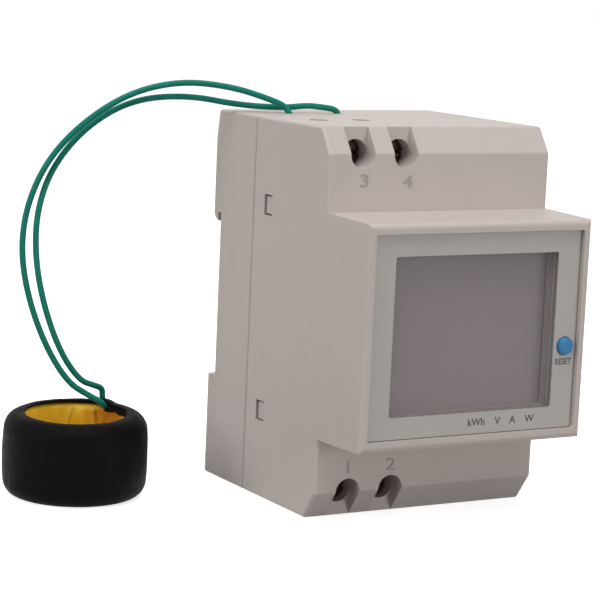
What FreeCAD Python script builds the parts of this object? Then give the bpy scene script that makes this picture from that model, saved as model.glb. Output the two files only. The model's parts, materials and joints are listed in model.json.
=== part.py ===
import FreeCAD, Part
import math
import os

Vec = FreeCAD.Vector

# Frame: X to the right seen from the front, Y towards the rail, Z up, in millimetres.
# The origin is the centre of the case's lower face. Depths are measured forward from the back plane.

# Case, outside
CASE_WIDTH = 53.0
CASE_HEIGHT = 79.5
CASE_DEPTH = 64.5
WALL = 2.0
EDGE_ROUND = 0.7
HOOD_ROUND = 1.1
SEAM_DEPTH = 17.9
SEAM_GAP = 0.3
SEAM_BEVEL = 0.2
FRAME_GAP = 0.2
HOOD_PROUD = 16.3
TOP_CHAMFER_RUN = 3.6
BOTTOM_CHAMFER_RUN = 4.1
TOP_CHAMFER_DROP = 5.2
BOTTOM_CHAMFER_RISE = 5.65
HOOD_HEIGHT = 45.0
HOOD_LIFT = 0.1
HOOD_DRAFT = 0.35

# Rail side
RAIL_STEP = 21.9
RAIL_SLOT = 35.5
RAIL_RECESS = 3.6
HOOK_GROOVE = 1.3
HOOK_REACH = 1.9
HOOK_ROUND = 2.1
TOP_TAPER_RUN = 9.0
TOP_TAPER = 1.6

# Rail latch and its spring
LATCH_WIDTH = 14.6
LATCH_FLANGE = 1.0
LATCH_GAP = 0.2
LATCH_LIP_DEPTH = 1.1
LATCH_THICKNESS = 2.25
LATCH_SET = 0.15
LATCH_FOOT = 0.4
LATCH_CATCH = 2.0
CATCH_SLOPE = 1.6
BAY_WIDTH = 3.4
BAY_BOTTOM = 8.0
BAY_HEIGHT = 9.2
STOP_HEIGHT = 1.7
STOP_GAP = 0.3
DRIVER_SLOT_WIDTH = 6.4
DRIVER_SLOT_HEIGHT = 1.6
SPRING_RADIUS = 0.85
SPRING_WIRE = 0.36
SPRING_TURNS = 6

# Snap tongues of the base and the cover's windows for them
SNAP_DEPTH = 24.2
SNAP_WINDOW_DEPTH = 3.3
SNAP_WINDOW_HEIGHT = 4.3
SNAP_SKIN = 0.6
SNAP_RELIEF = 1.2
SNAP_INSET = 18.15
SNAP_LIFT = 0.1
TONGUE_HEIGHT = 7.0
TONGUE_THICKNESS = 1.4
TONGUE_REACH = 1.2
SNAP_GAP = 0.2
SNAP_BEHIND = 1.1
SNAP_PROUD = 1.1
LIP_REACH = 1.5
LIP_THICKNESS = 1.2

# Front: label, pane, window and button
RIM = 1.8
RIM_TALL = 2.1
LABEL_SET = 0.95
LABEL_THICKNESS = 0.4
PANE_THICKNESS = 1.2
PLATE_GAP = 0.15
PLATE_CORNER = 0.5
WINDOW_LEFT = 7.0
WINDOW_RIGHT = 7.3
WINDOW_RISE = 6.6
WINDOW_DROP = 6.55
BUTTON_INSET = 4.6
BUTTON_RISE = 19.1
BUTTON_RADIUS = 1.85
BUTTON_PROUD = 0.85
BUTTON_DOME = 0.6
BUTTON_GAP = 0.1
BUTTON_FLANGE = 0.5
BUTTON_FLANGE_THICKNESS = 0.8
BUTTON_TRAVEL = 0.4
STEM_RADIUS = 1.2

# Display
GLASS_THICKNESS = 2.0
GLASS_LEFT_LAP = 1.1
GLASS_RIGHT_SHORT = 1.6
GLASS_LAP = 1.05
FRAME_WALL = 1.0
FRAME_LIP = 0.5
FRAME_LIP_THICKNESS = 0.5
FIT_GAP = 0.15
BACKLIGHT_THICKNESS = 2.6
PIN_PITCH = 2.54
PIN_WIDTH = 0.64
LCD_PIN_WIDTH = 0.4

# Boards
BOARD_THICKNESS = 1.6
BOARD_MARGIN = 0.5
BOARD_SINK = 0.45
BOSS_INSET = 4.5
BOSS_RADIUS = 2.2
BOSS_EDGE = 6.35
SCREW_SHANK = 0.8
SCREW_GAP = 0.2
SCREW_HEAD = 1.8
SCREW_HEAD_HEIGHT = 1.2
SCREW_BITE = 4.0
HOOK_THICKNESS = 2.0
HOOK_LAP = 1.0
HOOK_TALL = 6.0
HEADER_PINS = 6
HEADER_RISE = 4.15
HEADER_TALL = 2.5
SOCKET_REACH = 8.4

# Terminals, numbered 1 and 2 at the lower end, 3 and 4 at the upper end
TERMINAL_INSET = 7.85
TERMINAL_PITCH = 10.1
TOP_TERMINAL_DROP = 5.4
BOTTOM_TERMINAL_RISE = 5.6
WELL_RADIUS = 2.85
COLLAR_WALL = 1.35
HEAD_RADIUS = 2.5
HEAD_HEIGHT = 2.2
HEAD_SINK = 8.3
SEAT_LIP = 0.8
THREAD_RADIUS = 1.5
THREAD_GAP = 0.05
SEAT_GAP = 0.25
TURN_GAP = 0.1
CAGE_TRAVEL = 3.75
CAGE_WIDTH = 7.0
CAGE_WALL = 1.1
CAGE_FRONT = 1.5
CAGE_TALL = 5.7
GUIDE_WALL = 1.5
BUSBAR_WIDTH = 4.4
BUSBAR_THICKNESS = 1.2
BUSBAR_LEG = 6.95
BUSBAR_PIN = 1.0

# Parts on the boards
MAIN_CHIP = 12.0
MAIN_CHIP_LEGS = 12
METERING_CHIP = 10.0
METERING_CHIP_WIDTH = 4.4
METERING_CHIP_LEGS = 8
RECTIFIER = 5.0
RECTIFIER_WIDTH = 4.0
RECTIFIER_LEGS = 2
CHIP_THICKNESS = 1.65
BURDEN_LENGTH = 3.2
BURDEN_WIDTH = 1.7
BURDEN_THICKNESS = 0.7
FILM_LENGTH = 18.0
FILM_WIDTH = 9.5
FILM_TALL = 14.0
BULK_RADIUS = 5.0
BULK_TALL = 17.0
OUTPUT_RADIUS = 3.15
OUTPUT_TALL = 11.5
VARISTOR_RADIUS = 5.0
VARISTOR_THICKNESS = 3.6
VARISTOR_LIFT = 2.0
WIRE_LEG_RADIUS = 0.35
FUSE_LENGTH = 9.0
FUSE_RADIUS = 1.8
FUSE_LIFT = 0.8
FUSE_LEG = 1.6
SOCKET_MARGIN = 2.5
SOCKET_HEIGHT = 6.4
KEY_HEIGHT = 0.8

# Leads and ring transformer
LEAD_DIAMETER = 1.3
LEAD_HOLE_GAP = 0.35
LEAD_HOLES = [(-16.0, 19.05), (-3.9, 19.75)]
LEAD_ENTRY_GAP = 0.12
RING_X = -61.78
RING_Y = 22.63
RING_RADIUS = 15.1
RING_BORE = 10.55
RING_HEIGHT = 17.45
RING_ROUND = 3.4
BORE_ROUND = 1.1
SLEEVE_THICKNESS = 0.6
TAPE_THICKNESS = 0.3
COIL_THICKNESS = 0.6
LIP_SHOW = 0.45

# Routes of the two leads, from the socket out through the top of the case and down into the ring.
LEAD_A_ROUTE = [
    (-12.6, 3.0, 60.0), (-12.6, 9.5, 60.0), (-13.6, 15.6, 62.6), (-15.2, 18.8, 68.8),
    (-15.9, 19.0, 75.4), (-16.0, 19.05, 80.5), (-20.6, 20.4, 82.5), (-28.5, 22.9, 84.8),
    (-38.5, 26.1, 85.6), (-48.7, 28.8, 83.0), (-58.2, 30.7, 76.8), (-65.3, 32.3, 69.0),
    (-69.3, 33.3, 59.8), (-70.5, 33.5, 50.2), (-68.9, 32.8, 40.0), (-65.3, 31.4, 29.8),
    (-60.7, 29.9, 22.1), (-56.48, 28.63, 19.35), (-53.68, 27.53, 17.85), (-52.31, 28.31, 16.35),
]
LEAD_B_ROUTE = [
    (-10.1, 3.0, 60.0), (-10.1, 9.7, 60.0), (-8.3, 16.2, 62.4), (-5.4, 19.3, 68.0),
    (-4.0, 19.75, 74.2), (-3.9, 19.75, 78.2), (-4.0, 19.8, 80.3), (-7.6, 20.4, 80.8),
    (-11.0, 21.1, 81.05), (-15.8, 22.25, 80.45), (-25.5, 24.5, 80.8), (-36.5, 27.2, 82.6),
    (-47.5, 30.2, 81.4), (-56.7, 32.5, 75.8), (-63.9, 33.5, 67.2), (-67.5, 32.8, 57.7),
    (-67.8, 31.9, 47.7), (-65.8, 31.1, 37.7), (-62.4, 30.0, 28.4), (-58.1, 29.5, 22.4),
    (-54.8, 29.5, 21.2), (-52.68, 29.83, 20.45), (-52.53, 29.85, 18.55), (-52.4, 29.96, 16.6),
]

# Worked out from the sizes above
SIDE = CASE_WIDTH / 2
INNER_SIDE = SIDE - WALL
SHOULDER_DEPTH = CASE_DEPTH - HOOD_PROUD
TOP_FACE_DEPTH = SHOULDER_DEPTH - TOP_CHAMFER_RUN
BOTTOM_FACE_DEPTH = SHOULDER_DEPTH - BOTTOM_CHAMFER_RUN
HOOD_BOTTOM = (CASE_HEIGHT - HOOD_HEIGHT) / 2 + HOOD_LIFT
HOOD_TOP = HOOD_BOTTOM + HOOD_HEIGHT
HOOD_MIDDLE = HOOD_BOTTOM + HOOD_HEIGHT / 2
SNAP_LOW = SNAP_INSET + SNAP_LIFT
SNAP_HIGH = CASE_HEIGHT - SNAP_INSET + SNAP_LIFT
LABEL_FRONT = CASE_DEPTH - LABEL_SET
PANE_FRONT = LABEL_FRONT - LABEL_THICKNESS
LEDGE_DEPTH = PANE_FRONT - PANE_THICKNESS
INNER_FRONT = LEDGE_DEPTH - WALL
RECESS_SIDE = SIDE - RIM
RECESS_LOW = HOOD_BOTTOM + RIM_TALL
RECESS_HIGH = HOOD_TOP - RIM_TALL
WINDOW_X0 = WINDOW_LEFT - SIDE
WINDOW_X1 = SIDE - WINDOW_RIGHT
WINDOW_Z0 = HOOD_BOTTOM + WINDOW_RISE
WINDOW_Z1 = HOOD_TOP - WINDOW_DROP
BUTTON_X = SIDE - BUTTON_INSET
BUTTON_Z = HOOD_BOTTOM + BUTTON_RISE
FRAME_FRONT = INNER_FRONT - FRAME_GAP
GLASS_FRONT = FRAME_FRONT - FRAME_LIP_THICKNESS
GLASS_BACK = GLASS_FRONT - GLASS_THICKNESS
GLASS_X0 = WINDOW_X0 - GLASS_LEFT_LAP
GLASS_X1 = WINDOW_X1 - GLASS_RIGHT_SHORT
GLASS_Z0 = WINDOW_Z0 - GLASS_LAP
GLASS_Z1 = WINDOW_Z1 + GLASS_LAP
DISPLAY_BOARD_FRONT = GLASS_BACK - BACKLIGHT_THICKNESS - FIT_GAP
DISPLAY_BOARD_BACK = DISPLAY_BOARD_FRONT - BOARD_THICKNESS
DISPLAY_BOARD_LOW = HOOD_BOTTOM + WALL + BOARD_MARGIN
DISPLAY_BOARD_HIGH = HOOD_TOP - WALL - BOARD_MARGIN
BOARD_SIDE = INNER_SIDE - BOARD_MARGIN
BOSS_X = SIDE - BOSS_INSET
HEADER_Z = DISPLAY_BOARD_LOW + HEADER_RISE
HEAD_SEAT_DEPTH = SHOULDER_DEPTH - HEAD_SINK
HEAD_BACK = HEAD_SEAT_DEPTH + TURN_GAP
HEAD_FRONT = HEAD_BACK + HEAD_HEIGHT
SEAT_BACK = HEAD_SEAT_DEPTH - SEAT_LIP
POWER_BOARD_DEPTH = SEAT_BACK - BOARD_SINK
POWER_BOARD_FRONT = POWER_BOARD_DEPTH + BOARD_THICKNESS
POWER_BOARD_LOW = BOTTOM_TERMINAL_RISE + WELL_RADIUS + COLLAR_WALL + BOARD_MARGIN
POWER_BOARD_HIGH = CASE_HEIGHT - TOP_TERMINAL_DROP - WELL_RADIUS - COLLAR_WALL - BOARD_MARGIN
CAGE_FACE = SEAT_BACK - SEAT_GAP - CAGE_TRAVEL
CAGE_INNER_FRONT = CAGE_FACE - CAGE_FRONT
BUSBAR_FRONT = CAGE_INNER_FRONT - 2 * SEAT_GAP
BUSBAR_BACK = BUSBAR_FRONT - BUSBAR_THICKNESS
WIRE_GAP = CAGE_TRAVEL + SEAT_GAP
CAGE_INNER_BACK = BUSBAR_BACK - WIRE_GAP
CAGE_BACK = CAGE_INNER_BACK - CAGE_WALL
WIRE_BORE_RADIUS = WIRE_GAP / 2
WIRE_DEPTH = BUSBAR_BACK - WIRE_BORE_RADIUS
LATCH_BACKING = LATCH_SET + LATCH_THICKNESS + LATCH_GAP
LEAD_RADIUS = LEAD_DIAMETER / 2


def y_at(depth):
    """Y of the plane that lies this far in front of the back plane."""
    return CASE_DEPTH / 2 - depth


def block(x0, x1, d0, d1, z0, z1):
    """Box between two sides, two depths and two heights, each pair in either order."""
    x0, x1 = sorted((x0, x1))
    d0, d1 = sorted((d0, d1))
    z0, z1 = sorted((z0, z1))
    return Part.makeBox(x1 - x0, d1 - d0, z1 - z0, Vec(x0, y_at(d1), z0))


def rod(x, z, d0, d1, radius):
    """Cylinder along the depth, between two depths."""
    d0, d1 = sorted((d0, d1))
    return Part.makeCylinder(radius, d1 - d0, Vec(x, y_at(d1), z), Vec(0, 1, 0))


def post(x, depth, z0, z1, radius):
    """Upright cylinder between two heights."""
    z0, z1 = sorted((z0, z1))
    return Part.makeCylinder(radius, z1 - z0, Vec(x, y_at(depth), z0))


def side_face(outline, x):
    """Flat face at x from an outline of (depth, height) points."""
    points = [Vec(x, y_at(depth), z) for depth, z in outline]
    return Part.Face(Part.makePolygon(points + points[:1]))


def side_prism(outline, x0, x1):
    """Solid of an outline of (depth, height) points, from x0 to x1."""
    return side_face(outline, x0).extrude(Vec(x1 - x0, 0, 0))


def fused(shapes):
    """One clean solid from shapes that overlap."""
    first, *others = shapes
    return first.multiFuse(others).removeSplitter() if others else first


def cut(shape, tools):
    """The shape with every tool taken out of it."""
    return shape.cut(fused(list(tools))) if len(tools) == 1 else shape.cut(list(tools))


def rounded(shape, radius, chosen):
    """The shape with the edges that a test picks rounded to a radius."""
    return shape.makeFillet(radius, [edge for edge in shape.Edges if chosen(edge.BoundBox)])


def lies_on(low, high, value, slack=0.01):
    """True where a box side pair lies on one value."""
    return abs(low - value) < slack and abs(high - value) < slack


def rounded_plate(x0, x1, d0, d1, z0, z1, radius):
    """Flat plate across the front with its four corners rounded."""
    plate = block(x0, x1, d0, d1, z0, z1)
    thickness = abs(d1 - d0)
    return rounded(plate, radius, lambda b: abs(b.YLength - thickness) < 0.01 and b.XLength < 0.01)


def cover_outline(back, hood_front):
    """Side outline of the front half, from a back depth to the hood's front."""
    return [
        (back, 0),
        (BOTTOM_FACE_DEPTH, 0),
        (SHOULDER_DEPTH, BOTTOM_CHAMFER_RISE),
        (SHOULDER_DEPTH, HOOD_BOTTOM - HOOD_DRAFT),
        (hood_front, HOOD_BOTTOM),
        (hood_front, HOOD_TOP),
        (SHOULDER_DEPTH, HOOD_TOP + HOOD_DRAFT),
        (SHOULDER_DEPTH, CASE_HEIGHT - TOP_CHAMFER_DROP),
        (TOP_FACE_DEPTH, CASE_HEIGHT),
        (back, CASE_HEIGHT),
    ]


def cover_body():
    """Outside of the front half with its rounded edges."""
    body = side_prism(cover_outline(SEAM_DEPTH + SEAM_GAP / 2, CASE_DEPTH), -SIDE, SIDE)
    front = y_at(CASE_DEPTH)
    seam = y_at(SEAM_DEPTH + SEAM_GAP / 2)
    root = (HOOD_BOTTOM - HOOD_DRAFT, HOOD_TOP + HOOD_DRAFT)

    def of_hood(b):
        return lies_on(b.YMin, b.YMax, front)

    def of_sides(b):
        at_root = any(lies_on(b.ZMin, b.ZMax, z) for z in root)
        along = b.XLength > CASE_WIDTH - 1
        at_seam = lies_on(b.YMin, b.YMax, seam)
        beside_hood = b.YMin < y_at(SHOULDER_DEPTH) - 0.5
        return not (at_seam or of_hood(b) or (at_root and along) or beside_hood)

    body = rounded(body, EDGE_ROUND, of_sides)
    body = rounded(body, HOOD_ROUND, of_hood)
    return body.makeChamfer(SEAM_BEVEL, [e for e in body.Edges if lies_on(e.BoundBox.YMin, e.BoundBox.YMax, seam)])


def cover_cavity():
    """Hollow of the front half, open at the seam."""
    outline = cover_outline(SEAM_DEPTH - 2 * WALL, LEDGE_DEPTH)
    inner = side_face(outline, -INNER_SIDE).makeOffset2D(-WALL, 2)
    return inner.extrude(Vec(2 * INNER_SIDE, 0, 0))


def terminals():
    """Number, centre x, centre z and the end that the wire comes from, +1 for the top."""
    first = TERMINAL_INSET - SIDE
    second = first + TERMINAL_PITCH
    low, high = BOTTOM_TERMINAL_RISE, CASE_HEIGHT - TOP_TERMINAL_DROP
    return [(1, first, low, -1), (2, second, low, -1), (3, first, high, 1), (4, second, high, 1)]


def end_of(way):
    """Height of the case's end face on the side that a terminal's wire comes from."""
    return CASE_HEIGHT if way > 0 else 0.0


def notch_floor(way):
    """Depth of the flat floor behind a screw notch."""
    return TOP_FACE_DEPTH if way > 0 else BOTTOM_FACE_DEPTH


def terminal_pads(body):
    """Solid stock behind the notches, with the screw collars, inside the case's outline."""
    pads = []
    for way in (1, -1):
        rows = [t for t in terminals() if t[3] == way]
        floor = notch_floor(way)
        z = rows[0][2]
        last = rows[-1][1]
        inner = z - way * (WELL_RADIUS + COLLAR_WALL + FRAME_GAP)
        pads.append(block(-SIDE, last + WELL_RADIUS + WALL, floor - WALL, SHOULDER_DEPTH, inner, end_of(way)))
        for _, x, z, _ in rows:
            pads.append(rod(x, z, SEAT_BACK, floor, WELL_RADIUS + COLLAR_WALL))
    return [pad.common(body) for pad in pads]


def guide_ribs():
    """Walls that the cages slide between, from the collars back past the open cages."""
    ribs = []
    slot = CAGE_WIDTH / 2 + SEAT_GAP
    for way in (1, -1):
        (_, x0, z, _), (_, x1, _, _) = [t for t in terminals() if t[3] == way]
        inner = z - way * (WELL_RADIUS + COLLAR_WALL - FRAME_GAP)
        outer = end_of(way) - way * WALL / 2
        spans = [(-SIDE + WALL / 2, x0 - slot), (x0 + slot, x1 - slot), (x1 + slot, x1 + slot + GUIDE_WALL)]
        for start, end in spans:
            ribs.append(block(start, end, CAGE_BACK - SEAT_GAP, notch_floor(way) - WALL / 2, inner, outer))
    return ribs


def terminal_cuts():
    """Open notches, screw wells, screw holes and wire entries of the four terminals."""
    cuts = []
    for _, x, z, way in terminals():
        floor = notch_floor(way)
        outside = end_of(way) + way * WALL
        cuts.append(block(x - WELL_RADIUS, x + WELL_RADIUS, floor, SHOULDER_DEPTH + WALL, z, outside))
        cuts.append(rod(x, z, HEAD_SEAT_DEPTH, SHOULDER_DEPTH + WALL, WELL_RADIUS))
        cuts.append(rod(x, z, SEAT_BACK - WALL, HEAD_SEAT_DEPTH + WALL / 2, THREAD_RADIUS + 2 * FIT_GAP))
        cuts.append(post(x, WIRE_DEPTH, end_of(way) - way * 1.5 * WALL, outside, WIRE_BORE_RADIUS))
    return cuts


def boss_places():
    """Centres of the four bosses that carry the power board."""
    heights = (POWER_BOARD_LOW + BOSS_EDGE, POWER_BOARD_HIGH - BOSS_EDGE)
    return [(x, z) for z in heights for x in (-BOSS_X, BOSS_X)]


def display_screw_places():
    """Centres of the two screws that hold the display board at its right edge."""
    reach = HOOD_HEIGHT / 2 - RIM_TALL - WALL - BOSS_RADIUS / 2
    return [(BOSS_X, HOOD_MIDDLE - reach), (BOSS_X, HOOD_MIDDLE + reach)]


def cover_bosses():
    """Screw bosses for both boards and the two hooks behind the display board."""
    bosses = []
    holes = []
    hole = SCREW_SHANK + THREAD_GAP
    for x, z in boss_places():
        web = math.copysign(SIDE - WALL / 2, x)
        bosses.append(rod(x, z, POWER_BOARD_FRONT, SHOULDER_DEPTH - WALL / 2, BOSS_RADIUS))
        bosses.append(block(x, web, POWER_BOARD_FRONT, SHOULDER_DEPTH - WALL / 2, z - WALL / 2, z + WALL / 2))
        holes.append(rod(x, z, POWER_BOARD_FRONT - 1, POWER_BOARD_FRONT + SCREW_BITE + 1, hole))
    for x, z in display_screw_places():
        radius = BOSS_RADIUS - SCREW_GAP
        bosses.append(rod(x, z, DISPLAY_BOARD_FRONT, INNER_FRONT + WALL / 2, radius))
        holes.append(rod(x, z, DISPLAY_BOARD_FRONT - 1, DISPLAY_BOARD_FRONT + SCREW_BITE, hole))
    back = DISPLAY_BOARD_BACK - FRAME_GAP
    edge = -BOARD_SIDE + HOOK_LAP
    for z in (HOOD_MIDDLE - HOOD_HEIGHT / 5, HOOD_MIDDLE + HOOD_HEIGHT / 5):
        low, high = z - HOOK_TALL / 2, z + HOOK_TALL / 2
        bosses.append(block(-SIDE + WALL / 2, edge, back - HOOK_THICKNESS, back, low, high))
    return bosses, holes


def front_cuts():
    """Recess for label and pane, display opening and button hole."""
    side, front = RECESS_SIDE, CASE_DEPTH + 1
    recess = rounded_plate(-side, side, LEDGE_DEPTH, front, RECESS_LOW, RECESS_HIGH, PLATE_CORNER)
    opening = block(WINDOW_X0, WINDOW_X1, INNER_FRONT - 1, CASE_DEPTH, WINDOW_Z0, WINDOW_Z1)
    hole = rod(BUTTON_X, BUTTON_Z, INNER_FRONT - 1, CASE_DEPTH, BUTTON_RADIUS + BUTTON_GAP)
    return [recess, opening, hole]


def snap_windows():
    """Openings in both sides for the base's snap tongues."""
    windows = []
    for z in (SNAP_LOW, SNAP_HIGH):
        d0, d1 = SNAP_DEPTH - SNAP_WINDOW_DEPTH / 2, SNAP_DEPTH + SNAP_WINDOW_DEPTH / 2
        z0, z1 = z - SNAP_WINDOW_HEIGHT / 2, z + SNAP_WINDOW_HEIGHT / 2
        for side in (-1, 1):
            inner, skin = side * (INNER_SIDE - 1), side * (SIDE - SNAP_SKIN)
            windows.append(block(inner, side * (SIDE + 1), d0, d1, z0, z1))
            windows.append(block(inner, skin, d0 - SNAP_RELIEF, d0 + 1, z0, z1))
    return windows


def front_cover():
    """Front half of the case."""
    body = cover_body()
    bosses, holes = cover_bosses()
    shell = body.cut(cover_cavity())
    shell = shell.multiFuse(terminal_pads(body) + guide_ribs() + bosses).removeSplitter()
    return cut(shell, terminal_cuts() + front_cuts() + snap_windows() + holes)


def base_outline():
    """Side outline of the rear half, with the rail recess and the fixed hook at its top."""
    groove = RAIL_STEP + RAIL_SLOT
    tip = groove - HOOK_REACH
    lip = RAIL_RECESS - HOOK_GROOVE
    front = SEAM_DEPTH - SEAM_GAP / 2
    return [
        (0, 0), (front, 0), (front, CASE_HEIGHT), (TOP_TAPER, CASE_HEIGHT),
        (0, CASE_HEIGHT - TOP_TAPER_RUN), (0, tip), (lip, tip), (lip, groove),
        (RAIL_RECESS, groove), (RAIL_RECESS, RAIL_STEP), (0, RAIL_STEP),
    ]


def base_body():
    """Outside of the rear half with its rounded edges."""
    body = side_prism(base_outline(), -SIDE, SIDE)
    seam = y_at(SEAM_DEPTH - SEAM_GAP / 2)
    tip = RAIL_STEP + RAIL_SLOT - HOOK_REACH
    back = y_at(0)

    def of_hook(b):
        return lies_on(b.YMin, b.YMax, back) and lies_on(b.ZMin, b.ZMax, tip)

    def of_outside(b):
        along = b.XLength > CASE_WIDTH - 1
        at_ends = lies_on(b.ZMin, b.ZMax, 0) or lies_on(b.ZMin, b.ZMax, CASE_HEIGHT)
        tall_back = lies_on(b.YMin, b.YMax, back) and not along
        return (at_ends or tall_back) and not lies_on(b.YMin, b.YMax, seam)

    body = rounded(body, HOOK_ROUND, of_hook)
    body = rounded(body, EDGE_ROUND, of_outside)
    return body.makeChamfer(SEAM_BEVEL, [e for e in body.Edges if lies_on(e.BoundBox.YMin, e.BoundBox.YMax, seam)])


def base_cavity():
    """Hollow of the rear half, deeper above the rail recess."""
    top = CASE_HEIGHT - WALL
    over_rail = RAIL_STEP + RAIL_SLOT + WALL
    floor = RAIL_RECESS + WALL
    return [
        block(-INNER_SIDE, INNER_SIDE, floor, SEAM_DEPTH + 1, WALL, top),
        block(-INNER_SIDE, INNER_SIDE, TOP_TAPER + WALL, floor + 1, over_rail, top),
    ]


def latch_channel():
    """Undercut channel in the lower rear block for the sliding catch."""
    half = LATCH_WIDTH / 2 + LATCH_GAP
    low, high = -WALL, RAIL_STEP + WALL
    return [
        block(-half, half, -1, LATCH_BACKING, low, high),
        block(-half - LATCH_FLANGE, half + LATCH_FLANGE, LATCH_LIP_DEPTH, LATCH_BACKING, low, high),
    ]


def latch_stop():
    """Block of the base that stands in the catch's bay and carries the spring."""
    half = BAY_WIDTH / 2 - STOP_GAP
    low = BAY_BOTTOM + STOP_GAP
    return block(-half, half, LATCH_SET + STOP_GAP, LATCH_BACKING + WALL / 2, low, low + STOP_HEIGHT)


def tongue(side, z):
    """One snap tongue with its catch; side is -1 at the left and 1 at the right."""
    outer = INNER_SIDE - SNAP_GAP
    inner = outer - TONGUE_THICKNESS
    half = TONGUE_HEIGHT / 2
    window_back = SNAP_DEPTH - SNAP_WINDOW_DEPTH / 2
    window_front = SNAP_DEPTH + SNAP_WINDOW_DEPTH / 2
    catch = SNAP_WINDOW_HEIGHT / 2 - 2 * SNAP_GAP
    root = SEAM_DEPTH - SEAM_GAP / 2 - 2 * TONGUE_HEIGHT / 3
    return fused([
        block(side * inner, side * outer, root, window_front + TONGUE_REACH, z - half, z + half),
        block(side * inner, side * (INNER_SIDE + WALL / 2), root, SEAM_DEPTH - SEAM_GAP, z - half, z + half),
        block(
            side * (outer - WALL / 4), side * (INNER_SIDE + SNAP_PROUD), window_back + SNAP_BEHIND,
            window_front - SNAP_GAP, z - catch, z + catch,
        ),
    ])


def seam_lip():
    """Thin wall inside the seam that overlaps the front half."""
    outer = INNER_SIDE - SNAP_GAP
    inner = outer - LIP_THICKNESS
    low, high = WALL + SNAP_GAP, CASE_HEIGHT - WALL - SNAP_GAP
    back, front = SEAM_DEPTH - SEAM_GAP / 2 - LIP_REACH, SEAM_DEPTH + LIP_REACH
    ring = block(-outer, outer, back, front, low, high)
    hole = block(-inner, inner, back - 1, front + 1, low + LIP_THICKNESS, high - LIP_THICKNESS)
    seat = SEAM_DEPTH - SEAM_GAP
    root = block(-INNER_SIDE - 1, INNER_SIDE + 1, back, seat, WALL / 2, CASE_HEIGHT - WALL / 2)
    return [ring.cut(hole), root.cut(hole)]


def rear_base():
    """Rear half of the case, with the rail seat."""
    shell = cut(base_body(), base_cavity() + latch_channel())
    tongues = [tongue(side, z) for side in (-1, 1) for z in (SNAP_LOW, SNAP_HIGH)]
    shell = shell.multiFuse([latch_stop()] + tongues + seam_lip()).removeSplitter()
    holes = []
    for x, y in LEAD_HOLES:
        low = Vec(x, y, CASE_HEIGHT - 2 * WALL)
        holes.append(Part.makeCylinder(LEAD_RADIUS + LEAD_HOLE_GAP, 3 * WALL, low))
    return cut(shell, holes)


def rail_latch():
    """Sliding catch with side flanges, spring bay, driver slot and sloped catch."""
    half = LATCH_WIDTH / 2
    front = LATCH_SET + LATCH_THICKNESS
    top = RAIL_STEP + LATCH_CATCH
    outline = [
        (LATCH_SET, LATCH_FOOT), (front, LATCH_FOOT), (front, top),
        (LATCH_SET + CATCH_SLOPE, top), (LATCH_SET, top - CATCH_SLOPE),
    ]
    plate = side_prism(outline, -half, half)
    wide = half + LATCH_FLANGE
    flange_back = LATCH_LIP_DEPTH + LATCH_GAP
    flanges = block(-wide, wide, flange_back, front, LATCH_FOOT + WALL / 2, RAIL_STEP - WALL / 2)
    bay = block(-BAY_WIDTH / 2, BAY_WIDTH / 2, 0, LATCH_BACKING, BAY_BOTTOM, BAY_BOTTOM + BAY_HEIGHT)
    slot_low = LATCH_FOOT + WALL
    slot = block(
        -DRIVER_SLOT_WIDTH / 2, DRIVER_SLOT_WIDTH / 2, 0, LATCH_BACKING, slot_low, slot_low + DRIVER_SLOT_HEIGHT,
    )
    return cut(fused([plate, flanges]), [bay, slot])


def latch_spring():
    """Compression spring between the base's stop and the top of the catch's bay."""
    low = BAY_BOTTOM + STOP_GAP + STOP_HEIGHT + SPRING_WIRE / 2
    height = BAY_BOTTOM + BAY_HEIGHT - SPRING_WIRE / 2 - low
    helix = Part.makeHelix(height / SPRING_TURNS, height, SPRING_RADIUS)
    wire = Part.Wire(helix)
    circle = Part.makeCircle(SPRING_WIRE / 2, Vec(SPRING_RADIUS, 0, 0), Vec(0, 1, 0))
    coil = wire.makePipeShell([Part.Wire(circle)], True, True)
    coil.translate(Vec(0, y_at(LATCH_SET + LATCH_THICKNESS / 2 + LATCH_GAP / 2), low))
    return coil


def front_label():
    """Printed film with its window and button hole."""
    side, low, high = RECESS_SIDE - PLATE_GAP, RECESS_LOW + PLATE_GAP, RECESS_HIGH - PLATE_GAP
    film = rounded_plate(-side, side, PANE_FRONT, LABEL_FRONT, low, high, PLATE_CORNER)
    opening = rounded_plate(
        WINDOW_X0, WINDOW_X1, PANE_FRONT - 1, LABEL_FRONT + 1, WINDOW_Z0, WINDOW_Z1, PLATE_CORNER,
    )
    hole = rod(BUTTON_X, BUTTON_Z, PANE_FRONT - 1, LABEL_FRONT + 1, BUTTON_RADIUS + BUTTON_GAP)
    return cut(film, [opening, hole])


def front_pane():
    """Clear pane behind the film, seated on the cover's ledge."""
    side, low, high = RECESS_SIDE - PLATE_GAP, RECESS_LOW + PLATE_GAP, RECESS_HIGH - PLATE_GAP
    pane = rounded_plate(-side, side, LEDGE_DEPTH, PANE_FRONT, low, high, PLATE_CORNER)
    hole = rod(BUTTON_X, BUTTON_Z, LEDGE_DEPTH - 1, PANE_FRONT + 1, BUTTON_RADIUS + BUTTON_GAP)
    return pane.cut(hole)


def lcd_glass():
    """Display glass."""
    return block(GLASS_X0, GLASS_X1, GLASS_BACK, GLASS_FRONT, GLASS_Z0, GLASS_Z1)


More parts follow.
